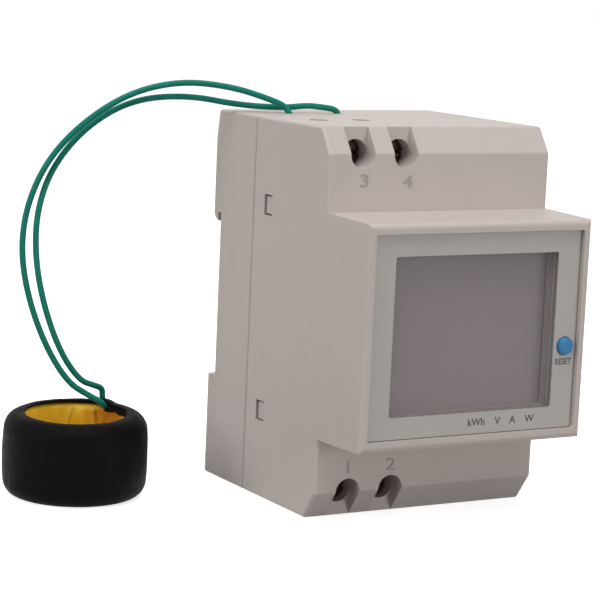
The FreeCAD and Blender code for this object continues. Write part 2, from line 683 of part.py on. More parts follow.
def lcd_frame():
    """Dark frame that holds the glass and the backlight against the cover."""
    x0, x1 = GLASS_X0 - FIT_GAP, GLASS_X1 + FIT_GAP
    z0, z1 = GLASS_Z0 - FIT_GAP, GLASS_Z1 + FIT_GAP
    outer = block(
        x0 - FRAME_WALL, x1 + FRAME_WALL, DISPLAY_BOARD_FRONT, FRAME_FRONT, z0 - FRAME_WALL, z1 + FRAME_WALL,
    )
    pocket = block(x0, x1, DISPLAY_BOARD_FRONT - 1, GLASS_FRONT, z0, z1)
    view = block(
        GLASS_X0 + FRAME_LIP, GLASS_X1 - FRAME_LIP, GLASS_FRONT - 1, FRAME_FRONT + 1,
        GLASS_Z0 + FRAME_LIP, GLASS_Z1 - FRAME_LIP,
    )
    return cut(outer, [pocket, view])


def lcd_backlight():
    """Light guide behind the glass, clear of the pins along its lower edge."""
    low = GLASS_Z0 + 2 * LCD_PIN_WIDTH + 2 * FIT_GAP
    return block(GLASS_X0, GLASS_X1, GLASS_BACK - BACKLIGHT_THICKNESS, GLASS_BACK, low, GLASS_Z1)


def lcd_pins():
    """Row of pins between the glass and the display board."""
    middle = (GLASS_X0 + GLASS_X1) / 2
    z = GLASS_Z0 + FIT_GAP + LCD_PIN_WIDTH / 2
    half = LCD_PIN_WIDTH / 2
    count = int((GLASS_X1 - GLASS_X0) / PIN_PITCH) - 1
    pins = []
    for i in range(count):
        x = middle + (i - (count - 1) / 2) * PIN_PITCH
        pins.append(block(x - half, x + half, DISPLAY_BOARD_FRONT, GLASS_BACK, z - half, z + half))
    return Part.makeCompound(pins)


def display_board():
    """Board behind the display."""
    low, high = DISPLAY_BOARD_LOW, DISPLAY_BOARD_HIGH
    board = block(-BOARD_SIDE, BOARD_SIDE, DISPLAY_BOARD_BACK, DISPLAY_BOARD_FRONT, low, high)
    holes = [
        rod(x, z, DISPLAY_BOARD_BACK - 1, DISPLAY_BOARD_FRONT + 1, SCREW_SHANK + SCREW_GAP)
        for x, z in display_screw_places()
    ]
    return cut(board, holes)


def power_board():
    """Board between the two rows of terminals, with holes for screws and busbar pins."""
    low, high = POWER_BOARD_LOW, POWER_BOARD_HIGH
    board = block(-BOARD_SIDE, BOARD_SIDE, POWER_BOARD_DEPTH, POWER_BOARD_FRONT, low, high)
    back, front = POWER_BOARD_DEPTH - 1, POWER_BOARD_FRONT + 1
    holes = [rod(x, z, back, front, SCREW_SHANK + SCREW_GAP) for x, z in boss_places()]
    half = BUSBAR_PIN / 2 + FIT_GAP
    for _, x, z, way in terminals():
        leg = z - way * BUSBAR_LEG
        holes.append(block(x - half, x + half, back, front, leg - half, leg + half))
    return cut(board, holes)


def board_screw(x, z, face, front_way):
    """Pan head screw whose head rests on a board's rear face and whose shank runs forward."""
    head = rod(x, z, face - SCREW_HEAD_HEIGHT, face, SCREW_HEAD)
    shank = rod(x, z, face - SCREW_HEAD_HEIGHT / 2, face + front_way, SCREW_SHANK)
    arm, half = SCREW_SHANK, SCREW_SHANK / 3
    back = face - SCREW_HEAD_HEIGHT
    deep = back + SCREW_HEAD_HEIGHT / 2
    arms = [
        block(x - arm, x + arm, back - 1, deep, z - half, z + half),
        block(x - half, x + half, back - 1, deep, z - arm, z + arm),
    ]
    return cut(fused([head, shank]), arms)


def power_board_screws():
    """Four screws of the power board."""
    reach = BOARD_THICKNESS + SCREW_BITE
    return Part.makeCompound([board_screw(x, z, POWER_BOARD_DEPTH, reach) for x, z in boss_places()])


def display_board_screws():
    """Two screws of the display board."""
    reach = BOARD_THICKNESS + SCREW_BITE - 1
    return Part.makeCompound([board_screw(x, z, DISPLAY_BOARD_BACK, reach) for x, z in display_screw_places()])


def header_places():
    """Centre x of each pin between the boards."""
    return [(i - (HEADER_PINS - 1) / 2) * PIN_PITCH for i in range(HEADER_PINS)]


def pin_bores(d0, d1, gap):
    """Square holes for the header pins between two depths."""
    half = PIN_WIDTH / 2 + gap
    return [block(x - half, x + half, d0, d1, HEADER_Z - half, HEADER_Z + half) for x in header_places()]


def header_strip():
    """Plastic strip of the pin header on the display board."""
    half = HEADER_PINS * PIN_PITCH / 2
    back = DISPLAY_BOARD_BACK - HEADER_TALL
    strip = block(
        -half, half, back, DISPLAY_BOARD_BACK, HEADER_Z - HEADER_TALL / 2, HEADER_Z + HEADER_TALL / 2,
    )
    return cut(strip, pin_bores(back - 1, DISPLAY_BOARD_BACK + 1, THREAD_GAP))


def header_socket():
    """Socket on the power board."""
    half = HEADER_PINS * PIN_PITCH / 2
    front = POWER_BOARD_FRONT + SOCKET_REACH
    socket = block(
        -half, half, POWER_BOARD_FRONT, front, HEADER_Z - HEADER_TALL / 2, HEADER_Z + HEADER_TALL / 2,
    )
    return cut(socket, pin_bores(POWER_BOARD_FRONT + 1, front + 1, FIT_GAP))


def header_pins():
    """Pins from the display board into the socket."""
    tip = POWER_BOARD_FRONT + SOCKET_REACH / 3
    return Part.makeCompound(pin_bores(tip, DISPLAY_BOARD_BACK, 0))


def display_place(across, up):
    """Point on the display board, from -1 to 1 across it and up it."""
    middle = (DISPLAY_BOARD_LOW + DISPLAY_BOARD_HIGH) / 2
    return across * BOARD_SIDE, middle + up * (DISPLAY_BOARD_HIGH - middle)


def power_place(across, up):
    """Point on the power board, from -1 to 1 across it and up it."""
    middle = (POWER_BOARD_LOW + POWER_BOARD_HIGH) / 2
    return across * BOARD_SIDE, middle + up * (POWER_BOARD_HIGH - middle)


def chip(place, face, length, width, legs):
    """Chip on a board's rear face with a row of bent legs on both long edges."""
    x, z = place
    leg_width = PIN_PITCH / 6
    near, far = face - leg_width / 2, face - CHIP_THICKNESS
    parts = [block(x - length / 2, x + length / 2, near, far, z - width / 2, z + width / 2)]
    pitch = length / legs
    top = face - CHIP_THICKNESS / 2
    for i in range(legs):
        centre = x + (i - (legs - 1) / 2) * pitch
        left, right = centre - leg_width / 2, centre + leg_width / 2
        for side in (-1, 1):
            edge = z + side * (width / 2 - leg_width)
            heel = z + side * (width / 2 + leg_width)
            toe = z + side * (width / 2 + 2 * leg_width)
            inner_heel = heel - side * leg_width / 2
            parts.append(block(left, right, top + leg_width / 2, top, edge, heel))
            parts.append(block(left, right, face, top, inner_heel, heel))
            parts.append(block(left, right, face, face - leg_width / 2, inner_heel, toe))
    return fused(parts)


def main_chip():
    """Controller behind the display board."""
    return chip(display_place(-0.17, 0.2), DISPLAY_BOARD_BACK, MAIN_CHIP, MAIN_CHIP, MAIN_CHIP_LEGS)


def metering_chip():
    """Metering chip on the power board."""
    return chip(power_place(-0.29, 0.14), POWER_BOARD_DEPTH, METERING_CHIP, METERING_CHIP_WIDTH, METERING_CHIP_LEGS)


def rectifier():
    """Bridge rectifier on the power board."""
    return chip(power_place(-0.21, -0.3), POWER_BOARD_DEPTH, RECTIFIER, RECTIFIER_WIDTH, RECTIFIER_LEGS)


def burden_resistor():
    """Small resistor across the leads from the ring, beside their socket."""
    z = power_place(0, 0.62)[1]
    x = min(LEAD_A_ROUTE[0][0], LEAD_B_ROUTE[0][0]) - SOCKET_MARGIN - WALL - BURDEN_LENGTH / 2
    half, tall = BURDEN_LENGTH / 2, BURDEN_WIDTH / 2
    far = POWER_BOARD_DEPTH - BURDEN_THICKNESS
    return block(x - half, x + half, far, POWER_BOARD_DEPTH, z - tall, z + tall)


def film_capacitor():
    """Boxed film capacitor."""
    x, z = power_place(0.46, -0.54)
    half, tall, far = FILM_LENGTH / 2, FILM_WIDTH / 2, POWER_BOARD_DEPTH - FILM_TALL
    box = block(x - half, x + half, far, POWER_BOARD_DEPTH, z - tall, z + tall)
    return rounded(box, FILM_WIDTH / 16, lambda b: lies_on(b.YMin, b.YMax, y_at(far)) or b.YLength > FILM_TALL - 1)


def can_capacitor(place, radius, tall):
    """Electrolytic capacitor standing on the power board, with its rolled groove."""
    x, z = place
    far = POWER_BOARD_DEPTH - tall
    can = rod(x, z, far, POWER_BOARD_DEPTH, radius)
    can = rounded(can, radius / 10, lambda b: lies_on(b.YMin, b.YMax, y_at(far)))
    groove = Vec(x, y_at(POWER_BOARD_DEPTH - tall / 7), z)
    return can.cut(Part.makeTorus(1.1 * radius, radius / 5, groove, Vec(0, 1, 0)))


def bulk_capacitor():
    """Large capacitor of the supply."""
    return can_capacitor(power_place(0.62, 0.07), BULK_RADIUS, BULK_TALL)


def output_capacitor():
    """Small capacitor of the supply."""
    return can_capacitor(power_place(0.19, 0.04), OUTPUT_RADIUS, OUTPUT_TALL)


def varistor():
    """Disc varistor on edge, on its two leads."""
    x, z = power_place(-0.8, -0.4)
    centre = POWER_BOARD_DEPTH - VARISTOR_LIFT - VARISTOR_RADIUS
    left = Vec(x - VARISTOR_THICKNESS / 2, y_at(centre), z)
    disc = Part.makeCylinder(VARISTOR_RADIUS, VARISTOR_THICKNESS, left, Vec(1, 0, 0))
    disc = rounded(disc, VARISTOR_THICKNESS / 5, lambda b: b.XLength < 0.01)
    start = centre + VARISTOR_RADIUS / 5
    feet = (z - VARISTOR_RADIUS / 2, z + VARISTOR_RADIUS / 2)
    return fused([disc] + [rod(x, foot, start, POWER_BOARD_DEPTH, WIRE_LEG_RADIUS) for foot in feet])


def fuse_resistor():
    """Axial fusible resistor lying over the board on its bent leads."""
    x, z = power_place(-0.52, -0.57)
    depth = POWER_BOARD_DEPTH - FUSE_LIFT - FUSE_RADIUS
    half = FUSE_LENGTH / 2
    body = rounded(post(x, depth, z - half, z + half, FUSE_RADIUS), FUSE_RADIUS / 4, lambda b: b.ZLength < 0.01)
    ends = (z - half - FUSE_LEG, z + half + FUSE_LEG)
    wire = post(x, depth, ends[0], ends[1], WIRE_LEG_RADIUS)
    feet = [rod(x, end, depth, POWER_BOARD_DEPTH, WIRE_LEG_RADIUS) for end in ends]
    return fused([body, wire] + feet)


def ct_connector():
    """Two-way socket on the power board whose rear face takes the leads."""
    xs = (LEAD_A_ROUTE[0][0], LEAD_B_ROUTE[0][0])
    y, z = LEAD_A_ROUTE[0][1], LEAD_A_ROUTE[0][2]
    low, high = min(xs), max(xs)
    back = CASE_DEPTH / 2 - y
    bottom, top = z - SOCKET_HEIGHT / 2, z + SOCKET_HEIGHT / 2
    body = block(low - SOCKET_MARGIN, high + SOCKET_MARGIN, back, POWER_BOARD_DEPTH, bottom, top)
    key = block(low, high, back + WALL, POWER_BOARD_DEPTH - WALL, top - KEY_HEIGHT, top + KEY_HEIGHT)
    return fused([body, key])


def reset_button():
    """Domed cap with a flange behind the cover's wall and a stem to the switch."""
    top = LABEL_FRONT + BUTTON_PROUD
    cap = rod(BUTTON_X, BUTTON_Z, FRAME_FRONT, top, BUTTON_RADIUS)
    cap = rounded(cap, BUTTON_DOME, lambda b: lies_on(b.YMin, b.YMax, y_at(top)))
    flange = rod(
        BUTTON_X, BUTTON_Z, FRAME_FRONT - BUTTON_FLANGE_THICKNESS, FRAME_FRONT, BUTTON_RADIUS + BUTTON_FLANGE,
    )
    stem = rod(BUTTON_X, BUTTON_Z, plunger_tip(), FRAME_FRONT - BUTTON_FLANGE_THICKNESS / 2, STEM_RADIUS)
    return fused([cap, flange, stem])


def switch_top():
    """Depth of the push switch's front face."""
    return DISPLAY_BOARD_FRONT + GLASS_THICKNESS + SCREW_GAP


def plunger_tip():
    """Depth where the switch plunger meets the button's stem."""
    return switch_top() + 2 * BUTTON_TRAVEL


def reset_switch():
    """Push switch on the display board, with a bore for its plunger."""
    half = BUTTON_RADIUS + BUTTON_FLANGE - THREAD_GAP
    top = switch_top()
    body = block(BUTTON_X - half, BUTTON_X + half, DISPLAY_BOARD_FRONT, top, BUTTON_Z - half, BUTTON_Z + half)
    bore = rod(BUTTON_X, BUTTON_Z, top - 3 * BUTTON_TRAVEL, top + 1, STEM_RADIUS + THREAD_GAP)
    return body.cut(bore)


def switch_plunger():
    """Plunger of the push switch."""
    return rod(BUTTON_X, BUTTON_Z, switch_top() - BUTTON_TRAVEL, plunger_tip(), STEM_RADIUS)


def terminal_screw(x, z):
    """Clamp screw with a cross and slot recess, its tip on the busbar."""
    head = rod(x, z, HEAD_BACK, HEAD_FRONT, HEAD_RADIUS)
    head = rounded(head, HEAD_HEIGHT / 8, lambda b: lies_on(b.YMin, b.YMax, y_at(HEAD_FRONT)))
    shank = rod(x, z, BUSBAR_FRONT + TURN_GAP, HEAD_BACK + HEAD_HEIGHT / 2, THREAD_RADIUS)
    slot = HEAD_RADIUS / 8
    deep = HEAD_FRONT - HEAD_HEIGHT / 2
    arm = 0.62 * HEAD_RADIUS
    recess = [
        block(x - HEAD_RADIUS, x + HEAD_RADIUS, deep, HEAD_FRONT + 1, z - slot, z + slot),
        block(x - slot, x + slot, deep, HEAD_FRONT + 1, z - arm, z + arm),
    ]
    return cut(fused([head, shank]), recess)


def cage_height(way):
    """Centre height of a cage, held just inside the case's end wall."""
    return end_of(way) - way * (WALL + SEAT_GAP + CAGE_TALL / 2)


def terminal_cage(x, z, way):
    """Rising clamp: a bent loop, open along Z for the wire and threaded on the screw."""
    half, tall, centre = CAGE_WIDTH / 2, CAGE_TALL / 2, cage_height(way)
    loop = block(x - half, x + half, CAGE_BACK, CAGE_FACE, centre - tall, centre + tall)
    loop = rounded(loop, CAGE_WALL / 3, lambda b: b.ZLength > CAGE_TALL - 0.1)
    inner = half - CAGE_WALL
    hollow = block(x - inner, x + inner, CAGE_INNER_BACK, CAGE_INNER_FRONT, centre - tall - 1, centre + tall + 1)
    bore = rod(x, z, CAGE_INNER_FRONT - 1, CAGE_FACE + 1, THREAD_RADIUS + THREAD_GAP)
    return cut(loop, [hollow, bore])


def busbar(x, z, way):
    """Bent bar from inside the cage to the power board, with its solder pin."""
    half = BUSBAR_WIDTH / 2
    leg = z - way * BUSBAR_LEG
    outer = cage_height(way) + way * (CAGE_TALL / 2 - SEAT_GAP)
    strip = block(x - half, x + half, BUSBAR_BACK, BUSBAR_FRONT, leg - way * BUSBAR_THICKNESS / 2, outer)
    foot = block(
        x - half, x + half, BUSBAR_BACK, POWER_BOARD_DEPTH, leg - BUSBAR_THICKNESS / 2, leg + BUSBAR_THICKNESS / 2,
    )
    pin_half = BUSBAR_PIN / 2
    pin = block(
        x - pin_half, x + pin_half, POWER_BOARD_DEPTH - 1, POWER_BOARD_FRONT + 1, leg - pin_half, leg + pin_half,
    )
    return fused([strip, foot, pin])


def ring_section(inset, bore_round, outer_round):
    """Rounded outline of the ring's cross-section, taken in by an inset, at angle zero."""
    r0, r1 = RING_BORE + inset, RING_RADIUS - SLEEVE_THICKNESS - inset
    z0, z1 = SLEEVE_THICKNESS + inset, RING_HEIGHT - SLEEVE_THICKNESS - inset
    return section_face(r0, r1, z0, z1, bore_round - inset, outer_round - inset)


def section_face(r0, r1, z0, z1, inner_round, outer_round):
    """Face between two radii and two heights with rounded corners, on the XZ plane."""
    turn = math.sqrt(0.5)

    def corner(r, z, radius, way_r, way_z):
        """Arc points of one corner, starting on the side that the outline reaches first."""
        cr, cz = r - way_r * radius, z - way_z * radius
        on_side = Vec(r, 0, cz)
        on_end = Vec(cr, 0, z)
        middle = Vec(cr + way_r * radius * turn, 0, cz + way_z * radius * turn)
        return on_side, middle, on_end

    low_out = corner(r1, z0, outer_round, 1, -1)
    high_out = corner(r1, z1, outer_round, 1, 1)
    high_in = corner(r0, z1, inner_round, -1, 1)
    low_in = corner(r0, z0, inner_round, -1, -1)
    edges = [
        Part.Arc(low_out[2], low_out[1], low_out[0]), Part.LineSegment(low_out[0], high_out[0]),
        Part.Arc(high_out[0], high_out[1], high_out[2]), Part.LineSegment(high_out[2], high_in[2]),
        Part.Arc(high_in[2], high_in[1], high_in[0]), Part.LineSegment(high_in[0], low_in[0]),
        Part.Arc(low_in[0], low_in[1], low_in[2]), Part.LineSegment(low_in[2], low_out[2]),
    ]
    return Part.Face(Part.Wire([edge.toShape() for edge in edges]))


def turned(face):
    """Full ring from a cross-section, at the transformer's place."""
    ring = face.revolve(Vec(0, 0, 0), Vec(0, 0, 1), 360)
    ring.translate(Vec(RING_X, RING_Y, 0))
    return ring


def lead_bores():
    """Straight bores along the last run of each lead, through the sleeve and tape and past their insides."""
    bores = []
    for route in (LEAD_A_ROUTE, LEAD_B_ROUTE):
        before, end = Vec(*route[-2]), Vec(*route[-1])
        run = end - before
        run.normalize()
        start = end - run * (3 * LEAD_DIAMETER)
        radius = LEAD_RADIUS + LEAD_ENTRY_GAP
        bores.append(Part.makeCylinder(radius, 4 * LEAD_DIAMETER, start, run))
    return bores


def ct_sleeve():
    """Shrink sleeve over the outside and both shoulders, open at the hole."""
    outer_round = RING_ROUND
    skin = section_face(
        RING_BORE - SLEEVE_THICKNESS, RING_RADIUS, 0, RING_HEIGHT, BORE_ROUND + SLEEVE_THICKNESS, outer_round,
    )
    inside = ring_section(0, BORE_ROUND, outer_round - SLEEVE_THICKNESS)
    hole_side = Part.makePlane(
        RING_BORE + LIP_SHOW, RING_HEIGHT + 2, Vec(0, 0, -1), Vec(0, -1, 0), Vec(1, 0, 0),
    )
    return turned(skin.cut([inside, hole_side]).Faces[0]).cut(lead_bores())


def ct_tape():
    """Tape wrap all round the coil, seen in the hole."""
    outer = ring_section(0, BORE_ROUND, RING_ROUND - SLEEVE_THICKNESS)
    inner = ring_section(TAPE_THICKNESS, BORE_ROUND, RING_ROUND - SLEEVE_THICKNESS)
    return turned(outer.cut(inner).Faces[0]).cut(lead_bores())


def coil_inner():
    """Inset of the core's surface from the tape's outside."""
    return TAPE_THICKNESS + COIL_THICKNESS


def ct_winding():
    """Coil on the core, as one closed layer of turns."""
    outer = ring_section(TAPE_THICKNESS, BORE_ROUND, RING_ROUND - SLEEVE_THICKNESS)
    inner = ring_section(coil_inner(), BORE_ROUND, RING_ROUND - SLEEVE_THICKNESS)
    return turned(outer.cut(inner).Faces[0])


def ct_core():
    """Strip-wound core of the ring."""
    return turned(ring_section(coil_inner(), BORE_ROUND, RING_ROUND - SLEEVE_THICKNESS))


def cord_path(points):
    """Straight runs joined by tangent arcs as large as the two runs allow, and the arcs' radii."""
    edges = []
    radii = []
    start = points[0]
    for before, corner, after in zip(points, points[1:], points[2:]):
        way_in, way_out = corner - before, after - corner
        reach = 0.45 * min(way_in.Length, way_out.Length)
        way_in.normalize()
        way_out.normalize()
        half_turn = way_in.getAngle(way_out) / 2
        radius = reach / math.tan(half_turn)
        first, last = corner - way_in * reach, corner + way_out * reach
        inward = way_out - way_in
        inward.normalize()
        middle = corner + inward * (radius / math.cos(half_turn) - radius)
        edges.append(Part.LineSegment(start, first).toShape())
        edges.append(Part.Arc(first, middle, last).toShape())
        radii.append(radius)
        start = last
    edges.append(Part.LineSegment(start, points[-1]).toShape())
    return Part.Wire(edges), radii


def lead(name, route):
    """Tube of one lead along its route."""
    points = [Vec(*point) for point in route]
    path, radii = cord_path(points)
    run = points[1] - points[0]
    circle = Part.makeCircle(LEAD_RADIUS, points[0], run)
    tube = path.makePipeShell([Part.Wire(circle)], True, False)
    wanted = math.pi * LEAD_RADIUS ** 2 * path.Length
    print(name, "length", round(path.Length, 1), "volume over section by length", round(tube.Volume / wanted, 4))
    print(name, "radii", [round(radius, 1) for radius in radii])
    return tube


def build():
    """Every node's shape by name."""
    nodes = {
        "front_cover": front_cover(),
        "rear_base": rear_base(),
        "rail_latch": rail_latch(),
        "latch_spring": latch_spring(),
        "front_label": front_label(),
        "front_pane": front_pane(),
        "lcd_glass": lcd_glass(),
        "lcd_frame": lcd_frame(),
        "lcd_backlight": lcd_backlight(),
        "lcd_pins": lcd_pins(),
        "display_board": display_board(),
        "display_board_screws": display_board_screws(),
        "main_chip": main_chip(),
        "reset_button": reset_button(),
        "reset_switch": reset_switch(),
        "switch_plunger": switch_plunger(),
        "header_strip": header_strip(),
        "header_pins": header_pins(),
        "header_socket": header_socket(),
        "power_board": power_board(),
        "power_board_screws": power_board_screws(),
        "metering_chip": metering_chip(),
        "rectifier": rectifier(),
        "burden_resistor": burden_resistor(),
        "film_capacitor": film_capacitor(),
        "bulk_capacitor": bulk_capacitor(),
        "output_capacitor": output_capacitor(),
        "varistor": varistor(),
        "fuse_resistor": fuse_resistor(),
        "ct_connector": ct_connector(),
        "ct_sleeve": ct_sleeve(),
        "ct_tape": ct_tape(),
        "ct_winding": ct_winding(),
        "ct_core": ct_core(),
        "ct_wire_a": lead("ct_wire_a", LEAD_A_ROUTE),
        "ct_wire_b": lead("ct_wire_b", LEAD_B_ROUTE),
    }
    for number, x, z, way in terminals():
        nodes[f"terminal_screw_{number}"] = terminal_screw(x, z)
        nodes[f"terminal_cage_{number}"] = terminal_cage(x, z, way)
        nodes[f"busbar_{number}"] = busbar(x, z, way)
    return nodes


def main():
    """Write one file for each node."""
    os.makedirs("parts", exist_ok=True)
    for name, shape in build().items():
        shape.exportStep(os.path.join("parts", name + ".step"))


main()
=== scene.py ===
import json
import math

import bmesh
import bpy
from mathutils import Matrix, Vector, noise


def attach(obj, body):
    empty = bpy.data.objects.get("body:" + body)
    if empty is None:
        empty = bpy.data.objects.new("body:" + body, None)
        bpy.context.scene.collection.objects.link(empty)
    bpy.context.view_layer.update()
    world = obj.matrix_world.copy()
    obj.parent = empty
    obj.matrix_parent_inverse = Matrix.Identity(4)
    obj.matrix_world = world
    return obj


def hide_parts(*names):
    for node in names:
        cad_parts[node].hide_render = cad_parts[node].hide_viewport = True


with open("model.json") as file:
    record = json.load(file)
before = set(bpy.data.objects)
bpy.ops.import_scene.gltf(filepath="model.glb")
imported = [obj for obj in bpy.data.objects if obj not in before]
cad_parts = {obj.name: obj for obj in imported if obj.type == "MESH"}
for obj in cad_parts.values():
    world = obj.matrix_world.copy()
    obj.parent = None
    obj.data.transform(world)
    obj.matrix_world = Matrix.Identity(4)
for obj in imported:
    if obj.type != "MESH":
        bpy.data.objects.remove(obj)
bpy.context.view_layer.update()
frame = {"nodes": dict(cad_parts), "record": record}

MM = 0.001

# Light: the world's fill, and each lamp's name, place, size and power
WORLD_FILL = 0.32
WORLD_TINT = (1.0, 0.985, 0.97)
LAMP_TINT = (1.0, 0.985, 0.965)
LAMP_AIM = (-0.02, 0, 0.04)
LAMPS = [
    ("top_lamp", (-0.15, -0.22, 1.0), 0.7, 6.9),
    ("side_lamp", (-1.15, -0.15, 0.50), 0.6, 4.9),
    ("front_lamp", (0.50, -1.15, 0.08), 0.5, 5.6),
]

# Floor: its colour to the light, and its colour and glow to the eye
FLOOR_HALF = 3.0
FLOOR_PLAIN = (0.30, 0.29, 0.28)
FLOOR_PALE = (0.86, 0.86, 0.86)
FLOOR_GLOW = 0.74

# Camera, from the photograph's fitted view
CAMERA_PLACE = Vector((-0.25133, -0.39680, 0.11205))
CAMERA_AIM = Vector((0.493819, 0.856588, -0.149665))
CAMERA_ROLL = math.radians(2.546)
CAMERA_LENS = 135.425

# Case: its colour, which the raised numbers take darkened as painted shade, and its faces in
# millimetres
CASE_COLOUR = (0.520, 0.468, 0.442)
SHOULDER_FACE = -15.95
LABEL_FACE = -31.3

# Window: the opening's edges, the faces behind it, and the dark sheet of painted shade and the film
# set in it
WINDOW_LEFT, WINDOW_RIGHT = -19.5, 19.2
WINDOW_LOW, WINDOW_HIGH = 23.95, 55.8
SURROUND_FRONT = -27.5
COVER_BACK = -27.7
PANE_BACK = -29.7
SHADE_SHEET_GAP, SHADE_SHEET_WALL = 0.05, 0.3
FILM_LAP, FILM_SHORT = 1.0, 0.5
FILM_BACK, FILM_FRONT = 0.01, 0.12
PLATE_EDGE = 0.02

# Snap catches: face and root away from the middle, and place and size in the windows
CATCH_FACE, CATCH_ROOT = 26.2, 25.5
CATCH_PLACE, CATCH_DEPTH, CATCH_HEIGHT = 7.95, 2.6, 3.8
CATCH_HEIGHTS = (18.25, 61.45)
CATCH_EDGE = 0.12

# Lettering: capital height as a share of the font size, and each text's size and centre
CAPITAL_SHARE = 0.69
NUMBER_SIZE, NUMBER_PROUD, NUMBER_WIDE = 2.5, 0.12, 1.42
WAY_NUMBERS = (("3", -18.2, 69.0), ("4", -8.0, 68.8), ("1", -18.8, 10.9), ("2", -8.7, 10.8))
RESET_SIZE, RESET_CENTRE = 1.22, (21.75, 33.25)
UNITS_SIZE, UNITS_CENTRE = 1.45, (7.2, 21.95)

# Ring: centre on the floor, main measures, and roundings of the sleeve and of the hole
RING_CENTRE = (-61.78, 22.63)
RING_OUTER = 15.1
RING_BORE = 10.55
RING_TALL = 17.45
RING_ROUND = 3.4
BORE_ROUND = 1.1

# Rim: the sleeve's upper rim rises towards one direction, from a height on the ring
RIM_RISE, RIM_DROP = 0.40, 0.05
BACK_ANGLE = math.radians(60)
RISE_START = 8
SLEEVE_RISE_SPAN, TAPE_RISE_SPAN = 9, 8

# Sleeve: edge at the hole, wall, section of the edge's top and bottom, and soft forms
SLEEVE_EDGE = 10.5
SLEEVE_THICK = 0.6
EDGE_TOP = ((0, 0.45), (0.06, 0.22), (0.22, 0.06), (0.45, 0))
EDGE_BOTTOM = ((0.25, 0), (0.1, 0.06), (0, 0.25))
EDGE_RAGGED = 0.5
BARREL_DRAW, BARREL_POWER = 0.62, 2.5
TENT_RISE, TENT_RADIUS, TENT_WIDTH = 0.42, 11, 1.1
SLEEVE_TURNS = 288

# Fold of the sleeve into the hole: span, cells, length, and its two skins off the hole's wall
FOLD_START, FOLD_END = math.radians(-30), math.radians(35)
FOLD_ACROSS, FOLD_DEEP = 34, 18
FOLD_LENGTH = 1.75
FOLD_SKINS = (0.42, 0.12)

# Tape: wall, flange under the sleeve, laps, limits of its folds, and the proud flap in degrees
TAPE_THICK = 0.3
TAPE_FLANGE, TAPE_FLANGE_START = 0.35, 0.2
TAPE_WRAPS, TAPE_LAP = 9, 0.20
TAPE_MIDDLE = 8.5
TAPE_PROUD, TAPE_SUNK = -0.45, 0.27
FLAP_ANGLE = math.radians(42.5)
FLAP_SPAN, FLAP_EASE, FLAP_PROUD = 34, 28, 0.75
TAPE_TURNS = 480

# Place in metres beside the flap round which the tape is painted darker orange: painted shade by
# the flap
FLAP_SHADE_PLACE = (-0.0517, 0.0267, 0.0150)

# Leads: control points of each route, in millimetres
LEAD_RADIUS = 0.65
LEAD_A_ROUTE = [
    (-12.6, 3.0, 60.0), (-12.6, 9.5, 60.0), (-13.6, 15.6, 62.6), (-15.2, 18.8, 68.8),
    (-15.9, 19.0, 75.4), (-16.0, 19.05, 80.5), (-20.6, 20.4, 82.5), (-28.5, 22.9, 84.8),
    (-38.5, 26.1, 85.6), (-48.7, 28.8, 83.0), (-58.2, 30.7, 76.8), (-65.3, 32.3, 69.0),
    (-69.3, 33.3, 59.8), (-70.5, 33.5, 50.2), (-68.9, 32.8, 40.0), (-65.3, 31.4, 29.8),
    (-60.7, 29.9, 22.1), (-56.48, 28.63, 19.35), (-53.68, 27.53, 17.85), (-52.31, 28.31, 16.35),
]
LEAD_B_ROUTE = [
    (-10.1, 3.0, 60.0), (-10.1, 9.7, 60.0), (-8.3, 16.2, 62.4), (-5.4, 19.3, 68.0),
    (-4.0, 19.75, 74.2), (-3.9, 19.75, 78.2), (-4.0, 19.8, 80.3), (-7.6, 20.4, 80.8),
    (-11.0, 21.1, 81.05), (-15.8, 22.25, 80.45), (-25.5, 24.5, 80.8), (-36.5, 27.2, 82.6),
    (-47.5, 30.2, 81.4), (-56.7, 32.5, 75.8), (-63.9, 33.5, 67.2), (-67.5, 32.8, 57.7),
    (-67.8, 31.9, 47.7), (-65.8, 31.1, 37.7), (-62.4, 30.0, 28.4), (-58.1, 29.5, 22.4),
    (-54.8, 29.5, 21.2), (-52.68, 29.83, 20.45), (-52.53, 29.85, 18.55), (-52.4, 29.96, 16.6),
]

# Leads: name, node replaced, route, and exit from the case and full length in metres
LEADS = [
    ("lead_a", "ct_wire_a", LEAD_A_ROUTE, (-0.016, 0.01905, 0.0795), 0.149),
    ("lead_b", "ct_wire_b", LEAD_B_ROUTE, (-0.0039, 0.01975, 0.0795), 0.1565),
]


def link(obj):
    """Puts an object into the scene."""
    bpy.context.scene.collection.objects.link(obj)
    return obj


def add_camera():
    """Camera at the photograph's place, with its small roll."""
    aim = CAMERA_AIM.normalized()
    level = aim.cross(Vector((0, 0, 1))).normalized()
    over = level.cross(aim)
    right = math.cos(CAMERA_ROLL) * level + math.sin(CAMERA_ROLL) * over
    up = math.cos(CAMERA_ROLL) * over - math.sin(CAMERA_ROLL) * level
    turn = Matrix((right, up, -aim)).transposed().to_4x4()
    data = bpy.data.cameras.new("camera")
    data.lens = CAMERA_LENS
    data.sensor_width = 36.0
    data.clip_start = 0.01
    camera = link(bpy.data.objects.new("camera", data))
    camera.matrix_world = Matrix.Translation(CAMERA_PLACE) @ turn
    bpy.context.scene.camera = camera


def darker(colour, share):
    return tuple(c * share for c in colour)


